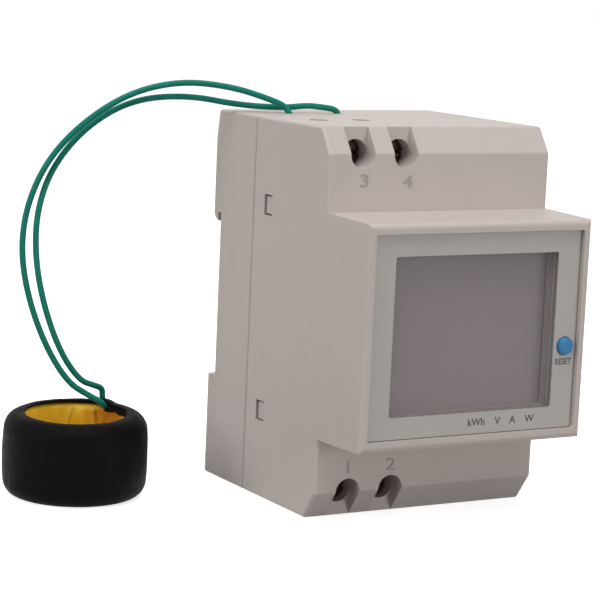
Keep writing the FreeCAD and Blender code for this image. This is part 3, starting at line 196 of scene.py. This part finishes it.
class Look:
    """Node material built step by step around one Principled shader; scales are per metre."""

    def __init__(self, name, colour, rough=0.5, metal=0.0, **sockets):
        self.mat = bpy.data.materials.new(name)
        self.mat.use_nodes = True
        self.nodes = self.mat.node_tree.nodes
        self.links = self.mat.node_tree.links
        self.shader = self.nodes["Principled BSDF"]
        self.colour = colour
        self.set("Base Color", (*colour, 1))
        self.set("Roughness", rough)
        self.set("Metallic", metal)
        for socket, value in sockets.items():
            self.set(socket.replace("_", " "), value)
        self.space = self.nodes.new("ShaderNodeTexCoord").outputs["Object"]
        self.normal = None

    def set(self, socket, value):
        self.shader.inputs[socket].default_value = value

    def noise(self, scale, detail=4.0, stretch=None):
        """Noise output, with the space stretched by a vector if one is given."""
        source = self.space
        if stretch:
            mapping = self.nodes.new("ShaderNodeMapping")
            mapping.inputs["Scale"].default_value = stretch
            self.links.new(source, mapping.inputs["Vector"])
            source = mapping.outputs["Vector"]
        node = self.nodes.new("ShaderNodeTexNoise")
        node.inputs["Scale"].default_value = scale
        node.inputs["Detail"].default_value = detail
        self.links.new(source, node.inputs["Vector"])
        return node.outputs["Fac"]

    def distance(self, place):
        """Distance from a place on the object."""
        node = self.nodes.new("ShaderNodeVectorMath")
        node.operation = "DISTANCE"
        self.links.new(self.space, node.inputs[0])
        node.inputs[1].default_value = place
        return node.outputs["Value"]

    def span(self, fac, low, high, start=0.3, end=0.7):
        """Map range of a factor to two values."""
        node = self.nodes.new("ShaderNodeMapRange")
        node.inputs["From Min"].default_value = start
        node.inputs["From Max"].default_value = end
        node.inputs["To Min"].default_value = low
        node.inputs["To Max"].default_value = high
        self.links.new(fac, node.inputs["Value"])
        return node.outputs["Result"]

    def tint(self, fac, other, start=0.3, end=0.7):
        """Base colour runs to another colour by a factor."""
        node = self.nodes.new("ShaderNodeMix")
        node.data_type = "RGBA"
        base = self.shader.inputs["Base Color"]
        if base.is_linked:
            self.links.new(base.links[0].from_socket, node.inputs["A"])
        else:
            node.inputs["A"].default_value = base.default_value
        node.inputs["B"].default_value = (*other, 1)
        self.links.new(self.span(fac, 0.0, 1.0, start, end), node.inputs["Factor"])
        self.links.new(node.outputs["Result"], base)

    def shade(self, share, *grain):
        """Clouds of a noise in which the first colour falls to a share of itself."""
        self.tint(self.noise(*grain), darker(self.colour, share))

    def vary_rough(self, fac, low, high):
        """Roughness between two values by a factor."""
        self.links.new(self.span(fac, low, high), self.shader.inputs["Roughness"])

    def use_normal(self, normal):
        self.normal = normal
        self.links.new(normal, self.shader.inputs["Normal"])

    def soften(self, radius):
        """Rounded look of the edges."""
        node = self.nodes.new("ShaderNodeBevel")
        node.samples = 4
        node.inputs["Radius"].default_value = radius
        self.use_normal(node.outputs["Normal"])
        return self

    def bump(self, fac, distance, strength=1.0):
        """Fine relief, on top of the relief that is there."""
        node = self.nodes.new("ShaderNodeBump")
        node.inputs["Strength"].default_value = strength
        node.inputs["Distance"].default_value = distance
        self.links.new(fac, node.inputs["Height"])
        if self.normal:
            self.links.new(self.normal, node.inputs["Normal"])
        self.use_normal(node.outputs["Normal"])


def plastic(name, colour, rough, grain=5200, relief=6e-6, edge=0.00018, **sockets):
    """Moulded plastic: spark-eroded grain, faint flow clouds and soft edges."""
    look = Look(name, colour, rough, **sockets).soften(edge)
    look.shade(0.955, 70, 3)
    look.shade(0.985, 900, 2)
    look.vary_rough(look.noise(340, 3), rough - 0.05, rough + 0.06)
    look.bump(look.noise(grain, 2), relief, 0.7)
    look.bump(look.noise(45, 2), 0.00006, 0.25)
    return look.mat


def metal(name, colour, rough, stretch=(1, 1, 1), relief=4e-6):
    """Plated or drawn metal with fine running lines and light stains."""
    look = Look(name, colour, rough, 1.0).soften(0.0001)
    look.shade(0.72, 420, 4)
    look.shade(0.9, 2600, 2, stretch)
    look.vary_rough(look.noise(1100, 3), rough - 0.08, rough + 0.12)
    look.bump(look.noise(3800, 3, stretch), relief, 0.6)
    return look.mat


def plastic_looks():
    """Case, label and moulded parts."""
    looks = {
        "case": plastic("case_plastic", CASE_COLOUR, 0.48, Specular_IOR_Level=0.35),
        "label": plastic("label_film", (0.405, 0.391, 0.366), 0.44,
                         grain=7400, relief=3e-6, edge=0.00008),
        "display_frame": plastic("display_surround", (0.235, 0.180, 0.190), 0.6,
                                 Specular_IOR_Level=0.3),
        "chip": plastic("chip_resin", (0.022, 0.022, 0.023), 0.55, grain=9000),
    }
    for slot, name, colour, rough in (
        ("latch", "latch_plastic", (0.045, 0.045, 0.047), 0.44),
        ("connector", "socket_nylon", (0.72, 0.70, 0.64), 0.45),
        ("switch", "switch_body", (0.035, 0.035, 0.038), 0.4),
        ("plunger", "plunger_plastic", (0.05, 0.05, 0.05), 0.4),
        ("pins", "header_plastic", (0.03, 0.03, 0.032), 0.42),
        ("film_box", "film_box_plastic", (0.78, 0.56, 0.05), 0.38),
        ("light_guide", "light_guide", (0.80, 0.80, 0.78), 0.3),
    ):
        looks[slot] = plastic(name, colour, rough)
    for slot, colour, rough in (
        ("resistor", (0.10, 0.22, 0.42), 0.42),
        ("varistor", (0.035, 0.075, 0.26), 0.34),
        ("can_sleeve", (0.025, 0.027, 0.032), 0.32),
    ):
        looks[slot] = plastic(slot + "_coat", colour, rough, grain=3600)
    return looks


def metal_looks():
    """Terminals, spring, coil and core; the screws are dark, with specks of painted glint on them.
    """
    screw = Look("zinc_screw", (0.045, 0.030, 0.019), 0.36, 1.0).soften(0.0001)
    screw.shade(0.5, 700, 3)
    # Specks of light colour on the dark screws: painted glints, highlights painted into the colour.
    screw.tint(screw.noise(1500, 2), (0.42, 0.36, 0.28), 0.62, 0.72)
    screw.vary_rough(screw.noise(1100, 3), 0.28, 0.46)
    screw.bump(screw.noise(1800, 3), 0.00002, 0.6)
    return {
        "zinc_screw": screw.mat,
        "tinned": metal("tinned_legs", (0.74, 0.75, 0.76), 0.32),
        "zinc_cage": metal("zinc_cage", (0.60, 0.60, 0.59), 0.36, (1, 1, 0.2)),
        "copper_bar": metal("copper_bar", (0.78, 0.40, 0.22), 0.3, (0.2, 1, 1)),
        "spring": metal("spring_wire", (0.55, 0.55, 0.56), 0.28),
        "coil": metal("enamelled_wire", (0.58, 0.22, 0.08), 0.28, (1, 1, 0.1)),
        "core": metal("strip_steel", (0.42, 0.42, 0.43), 0.45, (1, 1, 0.05)),
    }


def front_looks():
    """Button, board, display glass and the clear pane, which lets nearly all light pass."""
    button = Look("button_plastic", (0.0105, 0.205, 0.470), 0.25,
                  Specular_IOR_Level=0.3, Coat_Weight=0.1, Coat_Roughness=0.1).soften(0.0001)
    button.shade(0.86, 600, 3)
    button.bump(button.noise(2400, 2), 2e-6, 0.4)

    board = Look("board_laminate", (0.016, 0.110, 0.040), 0.38).soften(0.00008)
    board.shade(0.7, 1500, 2)
    board.tint(board.noise(180, 3, (1, 1, 6)), (0.024, 0.150, 0.058), 0.5, 0.53)
    board.bump(board.noise(4200, 2), 5e-6, 0.5)

    glass = Look("display_glass", (0.226, 0.188, 0.200), 0.34, Specular_IOR_Level=0.1)
    glass.tint(glass.noise(55, 2, (0.5, 1, 2)), (0.238, 0.198, 0.211))

    pane = Look("clear_pane", (0.80, 0.79, 0.79), 0.04, Alpha=0.07)
    pane.shade(0.97, 60, 2)
    return {"button": button.mat, "board": board.mat, "display": glass.mat, "pane": pane.mat}


def ring_looks():
    """Yellow tape, black shrink sleeve and green leads."""
    tape = Look("polyester_tape", (0.960, 0.590, 0.034), 0.5, Specular_IOR_Level=0.08)
    # The two stretched noises below run as streaks along the ring's axis, darker then lighter:
    # painted shade and painted highlights of the tape's folds.
    tape.tint(tape.noise(190, 3, (1, 1, 0.3)), (0.86, 0.450, 0.018), 0.45, 0.8)
    tape.tint(tape.noise(420, 3, (1, 1, 0.35)), (0.97, 0.70, 0.10), 0.52, 0.7)
    # Darker orange round a place beside the flap: painted shade, the flap's shadow painted into the
    # tape.
    tape.tint(tape.distance(FLAP_SHADE_PLACE), (0.52, 0.20, 0.012), 0.0072, 0.002)
    tape.bump(tape.noise(900, 3, (1, 1, 0.25)), 0.00003, 0.6)

    sleeve = Look("shrink_sleeve", (0.0040, 0.0033, 0.0034), 0.5, Specular_IOR_Level=0.04)
    sleeve.shade(0.7, 260, 3)
    sleeve.vary_rough(sleeve.noise(520, 3), 0.45, 0.62)
    sleeve.bump(sleeve.noise(2600, 3), 8e-6, 0.6)
    sleeve.bump(sleeve.noise(180, 2, (1, 1, 0.35)), 0.00008, 0.3)

    lead = Look("lead_insulation", (0.0042, 0.198, 0.148), 0.38, Specular_IOR_Level=0.13)
    lead.tint(lead.noise(300, 3), (0.0036, 0.162, 0.120))
    lead.bump(lead.noise(3000, 2), 4e-6, 0.5)
    return {"tape": tape.mat, "sleeve": sleeve.mat, "lead": lead.mat}


def dress(obj, look):
    """Gives an object one material, whatever it had."""
    obj.data.materials.clear()
    obj.data.materials.append(look)


def dress_nodes(looks):
    """Every CAD node takes the look of its slot in the record."""
    for row in frame["record"]["subparts"]:
        name = row["node"]
        if name in frame["nodes"]:
            dress(frame["nodes"][name], looks[row["material_slot"]])


def add_lead(name, node, route, looks):
    """One lead as a smooth tube along its route."""
    data = bpy.data.curves.new(name, "CURVE")
    data.dimensions = "3D"
    spline = data.splines.new("NURBS")
    spline.points.add(len(route) - 1)
    for point, place in zip(spline.points, route):
        point.co = (*[c * MM for c in place], 1)
    spline.order_u = 3
    spline.use_endpoint_u = True
    data.resolution_u = 14
    data.bevel_depth = LEAD_RADIUS * MM
    data.bevel_resolution = 5
    data.use_fill_caps = True
    lead = link(bpy.data.objects.new(name, data))
    dress(lead, looks["lead"])
    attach(lead, "case")
    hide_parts(node)


def finish_mesh(name, mesh, look, smooth=True):
    """Mesh object on the case from a bmesh."""
    bmesh.ops.recalc_face_normals(mesh, faces=mesh.faces)
    for face in mesh.faces:
        face.smooth = smooth
    data = bpy.data.meshes.new(name)
    mesh.to_mesh(data)
    mesh.free()
    piece = link(bpy.data.objects.new(name, data))
    dress(piece, look)
    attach(piece, "case")
    return piece


def arc(r, z, radius, start, end, steps):
    """Points of an arc about (r, z), angles in degrees."""
    points = []
    for i in range(steps + 1):
        a = math.radians(start + (end - start) * i / steps)
        points.append((r + radius * math.cos(a), z + radius * math.sin(a)))
    return points


def run(start, end, steps):
    """Points between two places, both ends left out."""
    return [tuple(a + (b - a) * i / steps for a, b in zip(start, end)) for i in range(1, steps)]


def on_ring(r, z, angle):
    """Place in metres from a radius, a height and a direction about the ring's axis."""
    x = RING_CENTRE[0] + r * math.cos(angle)
    y = RING_CENTRE[1] + r * math.sin(angle)
    return x * MM, y * MM, z * MM


def turned_piece(name, outline, place, turns, look, node):
    """Closed mesh from an outline carried round the ring's axis; place moves each point."""
    mesh = bmesh.new()
    rows = []
    for i in range(turns):
        angle = 2 * math.pi * i / turns
        row = []
        for j, (r, z) in enumerate(outline):
            row.append(mesh.verts.new(on_ring(*place(j, r, z, angle), angle)))
        rows.append(row)
    count = len(outline)
    for i in range(turns):
        a, b = rows[i], rows[(i + 1) % turns]
        for j in range(count):
            k = (j + 1) % count
            mesh.faces.new((a[j], b[j], b[k], a[k]))
    piece = finish_mesh(name, mesh, look)
    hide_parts(node)


def wave(x, y, z):
    """Smooth noise from -1 to 1."""
    return noise.noise(Vector((x, y, z)))


def ring_wave(angle, rate, along):
    """Smooth noise round the ring, faster with a higher rate."""
    return wave(rate * math.cos(angle), rate * math.sin(angle), along)


def apart(angle, other):
    """Signed angle between two directions."""
    return (angle - other + math.pi) % (2 * math.pi) - math.pi


def step(value):
    """Smooth rise from 0 to 1."""
    value = min(1.0, max(0.0, value))
    return value * value * (3 - 2 * value)


def lead_angle(route):
    """Direction from the ring's centre to the end of a lead."""
    return math.atan2(route[-1][1] - RING_CENTRE[1], route[-1][0] - RING_CENTRE[0])


def rim_lift(angle):
    """The sleeve's upper rim is higher at the back than at the front."""
    return RIM_RISE * math.cos(apart(angle, BACK_ANGLE)) - RIM_DROP


def add_sleeve(looks):
    """Shrink sleeve: barrel side, tented up where the leads leave, wavy edge at the hole."""
    top, edge, wall = RING_TALL, SLEEVE_EDGE, SLEEVE_THICK
    flat = RING_OUTER - RING_ROUND
    high, low = top - RING_ROUND, RING_ROUND
    outer = [(edge + out, top - down) for out, down in EDGE_TOP]
    outer += run(outer[-1], (flat, top), 4)
    outer += arc(flat, high, RING_ROUND, 90, 0, 18)
    outer += run((RING_OUTER, high), (RING_OUTER, low), 24)
    outer += arc(flat, low, RING_ROUND, 0, -90, 18)
    bottom = [(edge + out, up) for out, up in EDGE_BOTTOM]
    outer += run((flat, 0), bottom[0], 4) + bottom
    inner = [(edge, wall)] + arc(flat, low, RING_ROUND - wall, -90, 0, 10)
    inner += arc(flat, high, RING_ROUND - wall, 0, 90, 10) + [(edge, top - wall)]
    skin = len(outer)
    leads = [lead_angle(LEAD_A_ROUTE), lead_angle(LEAD_B_ROUTE)]

    def place(j, r, z, angle):
        if r < edge + EDGE_RAGGED:
            r += (0.16 * ring_wave(angle, 2.2, 7.0 if z > RISE_START else 10.0)
                  + 0.08 * ring_wave(angle, 7, 1.0))
        lift = rim_lift(angle) * step((z - RISE_START) / SLEEVE_RISE_SPAN)
        if j >= skin:
            return r, z + lift
        dent = (0.06 + 0.10 * ring_wave(angle, 1.7, 0.11 * z)
                + 0.05 * ring_wave(angle, 5, 0.28 * z + 4))
        dent = max(0.0, dent + 0.03 * ring_wave(angle, 16, 0.12 * z + 9))
        barrel = BARREL_DRAW * abs(2 * z / top - 1) ** BARREL_POWER
        if z > high:
            share = min(1.0, (z - high) / RING_ROUND)
            z = z - dent * share
            r = r - (dent + barrel * step((r - edge) / 3)) * (1 - 0.6 * share)
            for lead in leads:
                off = apart(angle, lead) * TENT_RADIUS / TENT_WIDTH
                z += TENT_RISE * math.exp(-off ** 2) * share
        elif z < low:
            share = min(1.0, (low - z) / RING_ROUND)
            r = r - (dent + barrel) * (1 - share)
        else:
            r = r - dent - barrel
        return r, z + lift

    turned_piece("ring_sleeve", outer + inner, place, SLEEVE_TURNS, looks["sleeve"],
                 "ct_sleeve")


def add_fold(looks):
    """Edge of the sleeve that is tucked over the rim into the hole beside the leads."""
    reach = RING_BORE + BORE_ROUND
    shoulder = RING_TALL - SLEEVE_THICK - BORE_ROUND
    curve = BORE_ROUND * math.pi / 2
    across, deep = FOLD_ACROSS, FOLD_DEEP

    def skin_point(i, j, off):
        angle = FOLD_START + (FOLD_END - FOLD_START) * i / across
        ends = min(step(i / 7), step((across - i) / 3))
        length = FOLD_LENGTH + 0.35 * wave(0.25 * i, 2.0, 0.3)
        way = length * (0.25 + 0.75 * ends) * j / deep
        if way < curve:
            turn = math.pi / 2 + way / BORE_ROUND
            r = reach + (BORE_ROUND + off) * math.cos(turn)
            z = shoulder + (BORE_ROUND + off) * math.sin(turn)
        else:
            r = RING_BORE - off
            z = shoulder - (way - curve)
        pleat = 0.08 * wave(0.5 * i, 0.12 * j, 5.0)
        return on_ring(r + pleat, z + rim_lift(angle), angle)

    mesh = bmesh.new()
    skins = []
    for off in FOLD_SKINS:
        skins.append([[mesh.verts.new(skin_point(i, j, off)) for j in range(deep + 1)]
                      for i in range(across + 1)])
    for skin in skins:
        for a, b in zip(skin, skin[1:]):
            for j in range(deep):
                mesh.faces.new((a[j], b[j], b[j + 1], a[j + 1]))
    outside, inside = skins
    border = [(i, 0) for i in range(across)] + [(across, j) for j in range(deep)]
    border += [(i, deep) for i in range(across, 0, -1)] + [(0, j) for j in range(deep, 0, -1)]
    for (i, j), (m, n) in zip(border, border[1:] + border[:1]):
        mesh.faces.new((outside[i][j], outside[m][n], inside[m][n], inside[i][j]))
    finish_mesh("ring_fold", mesh, looks["sleeve"])


def add_tape(looks):
    """Tape wound through the hole: broad folds, and a proud flap with a sharp edge by the leads."""
    low, high = SLEEVE_THICK, RING_TALL - SLEEVE_THICK
    reach = RING_BORE + BORE_ROUND
    start, end = reach + TAPE_FLANGE_START, reach + TAPE_FLANGE
    outer = [(end, high), (start, high)]
    outer += arc(reach, high - BORE_ROUND, BORE_ROUND, 90, 180, 9)
    outer += run((RING_BORE, high - BORE_ROUND), (RING_BORE, low + BORE_ROUND), 44)
    outer += arc(reach, low + BORE_ROUND, BORE_ROUND, 180, 270, 9)
    outer += [(start, low), (end, low)]
    skin = len(outer)
    inner = [(end, low + TAPE_THICK)]
    inner += arc(reach, low + BORE_ROUND, BORE_ROUND - TAPE_THICK, 270, 180, 4)
    inner += arc(reach, high - BORE_ROUND, BORE_ROUND - TAPE_THICK, 180, 90, 4)
    inner += [(end, high - TAPE_THICK)]

    def place(j, r, z, angle):
        z += min(0.0, rim_lift(angle)) * step((z - RISE_START) / TAPE_RISE_SPAN)
        if j >= skin or r > reach + 0.1:
            return r, z
        lean = 0.30 * (z - TAPE_MIDDLE) / TAPE_MIDDLE + 0.22 * ring_wave(angle, 2, 0.15 * z)
        lap = TAPE_LAP * ((angle / (2 * math.pi) * TAPE_WRAPS + lean) % 1.0)
        fold = (0.30 * ring_wave(angle, 3.2, 0.09 * z + 2)
                + 0.14 * abs(ring_wave(angle, 13, 0.12 * z)))
        push = max(TAPE_PROUD, min(lap + fold, TAPE_SUNK))
        side = math.degrees(apart(angle, FLAP_ANGLE)) - 2.0 * wave(0.3 * z, 0.0, 6.0)
        if 0 < side < FLAP_SPAN:
            push -= FLAP_PROUD * step((FLAP_SPAN - side) / FLAP_EASE)
        down = (high - z) / BORE_ROUND
        share = min(1.0, max(0.15, down)) if z > high - BORE_ROUND else 1.0
        return r + push * share, z - 0.05 * (1 - share)

    turned_piece("ring_tape", outer + inner, place, TAPE_TURNS, looks["tape"], "ct_tape")


def framed_plate(name, x_span, z_span, back, front, wall, look):
    """Thin plate between two depths; with a wall it is a frame that thick inside its edges."""
    mesh = bmesh.new()
    edge = PLATE_EDGE

    def ring(y, inset):
        x0, x1 = x_span[0] + inset, x_span[1] - inset
        z0, z1 = z_span[0] + inset, z_span[1] - inset
        corners = ((x0, z0), (x1, z0), (x1, z1), (x0, z1))
        return [mesh.verts.new((x * MM, y * MM, z * MM)) for x, z in corners]

    rings = [ring(back, edge), ring(back - edge, 0.0), ring(front + edge, 0.0), ring(front, edge)]
    if wall:
        rings += [ring(front, wall - edge), ring(front + edge, wall)]
        rings += [ring(back - edge, wall), ring(back, wall - edge)]
        rings.append(rings[0])
    for a, b in zip(rings, rings[1:]):
        for i in range(4):
            k = (i + 1) % 4
            mesh.faces.new((a[i], a[k], b[k], b[i]))
    if not wall:
        mesh.faces.new(rings[0])
        mesh.faces.new(rings[-1])
    finish_mesh(name, mesh, look, smooth=False)


def add_window_trim(looks):
    """Dark sheet of painted shade on the walls of the window's opening, and the display's front
    film on its surround.
    """
    # Dark sheet over the opening's walls: painted shade standing in for the shadow inside the
    # window.
    framed_plate("window_shade_sheet", (WINDOW_LEFT, WINDOW_RIGHT), (WINDOW_LOW, WINDOW_HIGH),
                 COVER_BACK + SHADE_SHEET_GAP, PANE_BACK + SHADE_SHEET_GAP, SHADE_SHEET_WALL,
                 looks["display_frame"])
    framed_plate("display_film", (WINDOW_LEFT - FILM_LAP, WINDOW_RIGHT - FILM_SHORT),
                 (WINDOW_LOW - FILM_LAP, WINDOW_HIGH + FILM_LAP),
                 SURROUND_FRONT - FILM_BACK, SURROUND_FRONT - FILM_FRONT, 0,
                 looks["display"])


def add_catches(looks):
    """Faces of the base's four snap catches, almost flush in the cover's side windows."""
    catches = [(side, z) for side in (-1, 1) for z in CATCH_HEIGHTS]
    for number, (side, middle) in enumerate(catches, 1):
        mesh = bmesh.new()
        bmesh.ops.create_cube(mesh, size=1.0)
        for vert in mesh.verts:
            near = vert.co.x * side > 0
            inset = CATCH_EDGE if near else 0.0
            x = side * (CATCH_FACE if near else CATCH_ROOT)
            y = CATCH_PLACE + math.copysign(CATCH_DEPTH / 2 - inset, vert.co.y)
            z = middle + math.copysign(CATCH_HEIGHT / 2 - inset, vert.co.z)
            vert.co = (x * MM, y * MM, z * MM)
        finish_mesh(f"catch_face_{number}", mesh, looks["case"], smooth=False)


def add_words(name, text, size, centre, face, look, proud=0.012, wide=1.0, bold=0.0):
    """Lettering as a thin solid on a face that looks to the front; size is the capital height."""
    data = bpy.data.curves.new(name, "FONT")
    data.body = text
    data.size = size * MM / CAPITAL_SHARE
    data.align_x = "CENTER"
    data.extrude = proud * MM
    data.offset = bold * MM
    data.resolution_u = 6
    words = link(bpy.data.objects.new(name, data))
    turn = Matrix.Rotation(math.radians(90), 4, "X") @ Matrix.Diagonal((wide, 1, 1, 1))
    place = Vector((centre[0] * MM, face * MM, (centre[1] - size / 2) * MM))
    words.matrix_world = Matrix.Translation(place) @ turn
    dress(words, look)
    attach(words, "case")


def add_lettering():
    """Moulded way numbers on the shoulders, the word at the button and the plate's units."""
    # The raised numbers are the case's colour darkened: painted shade standing in for the shadows
    # of their low relief.
    raised = plastic("shade_painted_numbers", darker(CASE_COLOUR, 0.71), 0.5, edge=0.00004,
                     Specular_IOR_Level=0.3)
    for text, x, z in WAY_NUMBERS:
        add_words("number_" + text, text, NUMBER_SIZE, (x, z), SHOULDER_FACE, raised,
                  proud=NUMBER_PROUD, wide=NUMBER_WIDE)
    ink = Look("dark_ink", (0.020, 0.019, 0.018), 0.5)
    ink.tint(ink.noise(3000, 2), (0.05, 0.047, 0.044))
    add_words("reset_word", "RESET", RESET_SIZE, RESET_CENTRE, LABEL_FACE, ink.mat,
              wide=0.86, bold=0.045)
    add_words("unit_words", "kWh    V    A    W", UNITS_SIZE, UNITS_CENTRE, LABEL_FACE, ink.mat,
              bold=0.04)


def white_rays(nodes, links):
    """1 for the rays that see the background: camera, glossy and transmission."""
    path = nodes.new("ShaderNodeLightPath")
    first = nodes.new("ShaderNodeMath")
    first.operation = "MAXIMUM"
    links.new(path.outputs["Is Camera Ray"], first.inputs[0])
    links.new(path.outputs["Is Glossy Ray"], first.inputs[1])
    second = nodes.new("ShaderNodeMath")
    second.operation = "MAXIMUM"
    links.new(first.outputs[0], second.inputs[0])
    links.new(path.outputs["Is Transmission Ray"], second.inputs[1])
    return second.outputs[0]


def light_up():
    """Soft studio light: lamps overhead, at the left and low in front, over a weak fill."""
    world = bpy.data.worlds.new("studio")
    bpy.context.scene.world = world
    world.use_nodes = True
    nodes, links = world.node_tree.nodes, world.node_tree.links
    nodes.clear()
    fill = nodes.new("ShaderNodeBackground")
    fill.inputs["Color"].default_value = (*WORLD_TINT, 1)
    fill.inputs["Strength"].default_value = WORLD_FILL
    white = nodes.new("ShaderNodeBackground")
    white.inputs["Color"].default_value = (1, 1, 1, 1)
    white.inputs["Strength"].default_value = 1.0
    mix = nodes.new("ShaderNodeMixShader")
    output = nodes.new("ShaderNodeOutputWorld")
    links.new(white_rays(nodes, links), mix.inputs["Fac"])
    links.new(fill.outputs["Background"], mix.inputs[1])
    links.new(white.outputs["Background"], mix.inputs[2])
    links.new(mix.outputs["Shader"], output.inputs["Surface"])
    for name, place, size, power in LAMPS:
        add_lamp(name, place, size, power)


def add_lamp(name, place, size, power):
    """Square lamp that looks at the object."""
    data = bpy.data.lights.new(name, "AREA")
    data.size = size
    data.energy = power
    data.color = LAMP_TINT
    lamp = link(bpy.data.objects.new(name, data))
    lamp.location = place
    aim = Vector(LAMP_AIM) - Vector(place)
    lamp.rotation_euler = aim.to_track_quat("-Z", "Y").to_euler()


def add_floor():
    """Pale floor under the object: white to the eye, with the object's soft shadow on it."""
    data = bpy.data.meshes.new("floor")
    half = FLOOR_HALF
    corners = [(-half, -half, 0), (half, -half, 0), (half, half, 0), (-half, half, 0)]
    data.from_pydata(corners, [], [(0, 1, 2, 3)])
    floor = link(bpy.data.objects.new("floor", data))
    mat = bpy.data.materials.new("floor_paper")
    mat.use_nodes = True
    nodes, links = mat.node_tree.nodes, mat.node_tree.links
    nodes.clear()
    plain = nodes.new("ShaderNodeBsdfDiffuse")
    plain.inputs["Color"].default_value = (*FLOOR_PLAIN, 1)
    pale = nodes.new("ShaderNodeBsdfDiffuse")
    pale.inputs["Color"].default_value = (*FLOOR_PALE, 1)
    glow = nodes.new("ShaderNodeEmission")
    glow.inputs["Strength"].default_value = FLOOR_GLOW
    both = nodes.new("ShaderNodeAddShader")
    mix = nodes.new("ShaderNodeMixShader")
    output = nodes.new("ShaderNodeOutputMaterial")
    links.new(pale.outputs["BSDF"], both.inputs[0])
    links.new(glow.outputs["Emission"], both.inputs[1])
    links.new(white_rays(nodes, links), mix.inputs["Fac"])
    links.new(plain.outputs["BSDF"], mix.inputs[1])
    links.new(both.outputs["Shader"], mix.inputs[2])
    links.new(mix.outputs["Shader"], output.inputs["Surface"])
    dress(floor, mat)


def main():
    looks = {**plastic_looks(), **metal_looks(), **front_looks(), **ring_looks()}
    add_camera()
    for name, node, route, exit_at, length in LEADS:
        add_lead(name, node, route, looks)
    dress_nodes(looks)
    add_sleeve(looks)
    add_fold(looks)
    add_tape(looks)
    add_window_trim(looks)
    add_catches(looks)
    add_lettering()
    add_floor()
    light_up()
    bpy.context.scene.view_settings.view_transform = "Standard"


main()
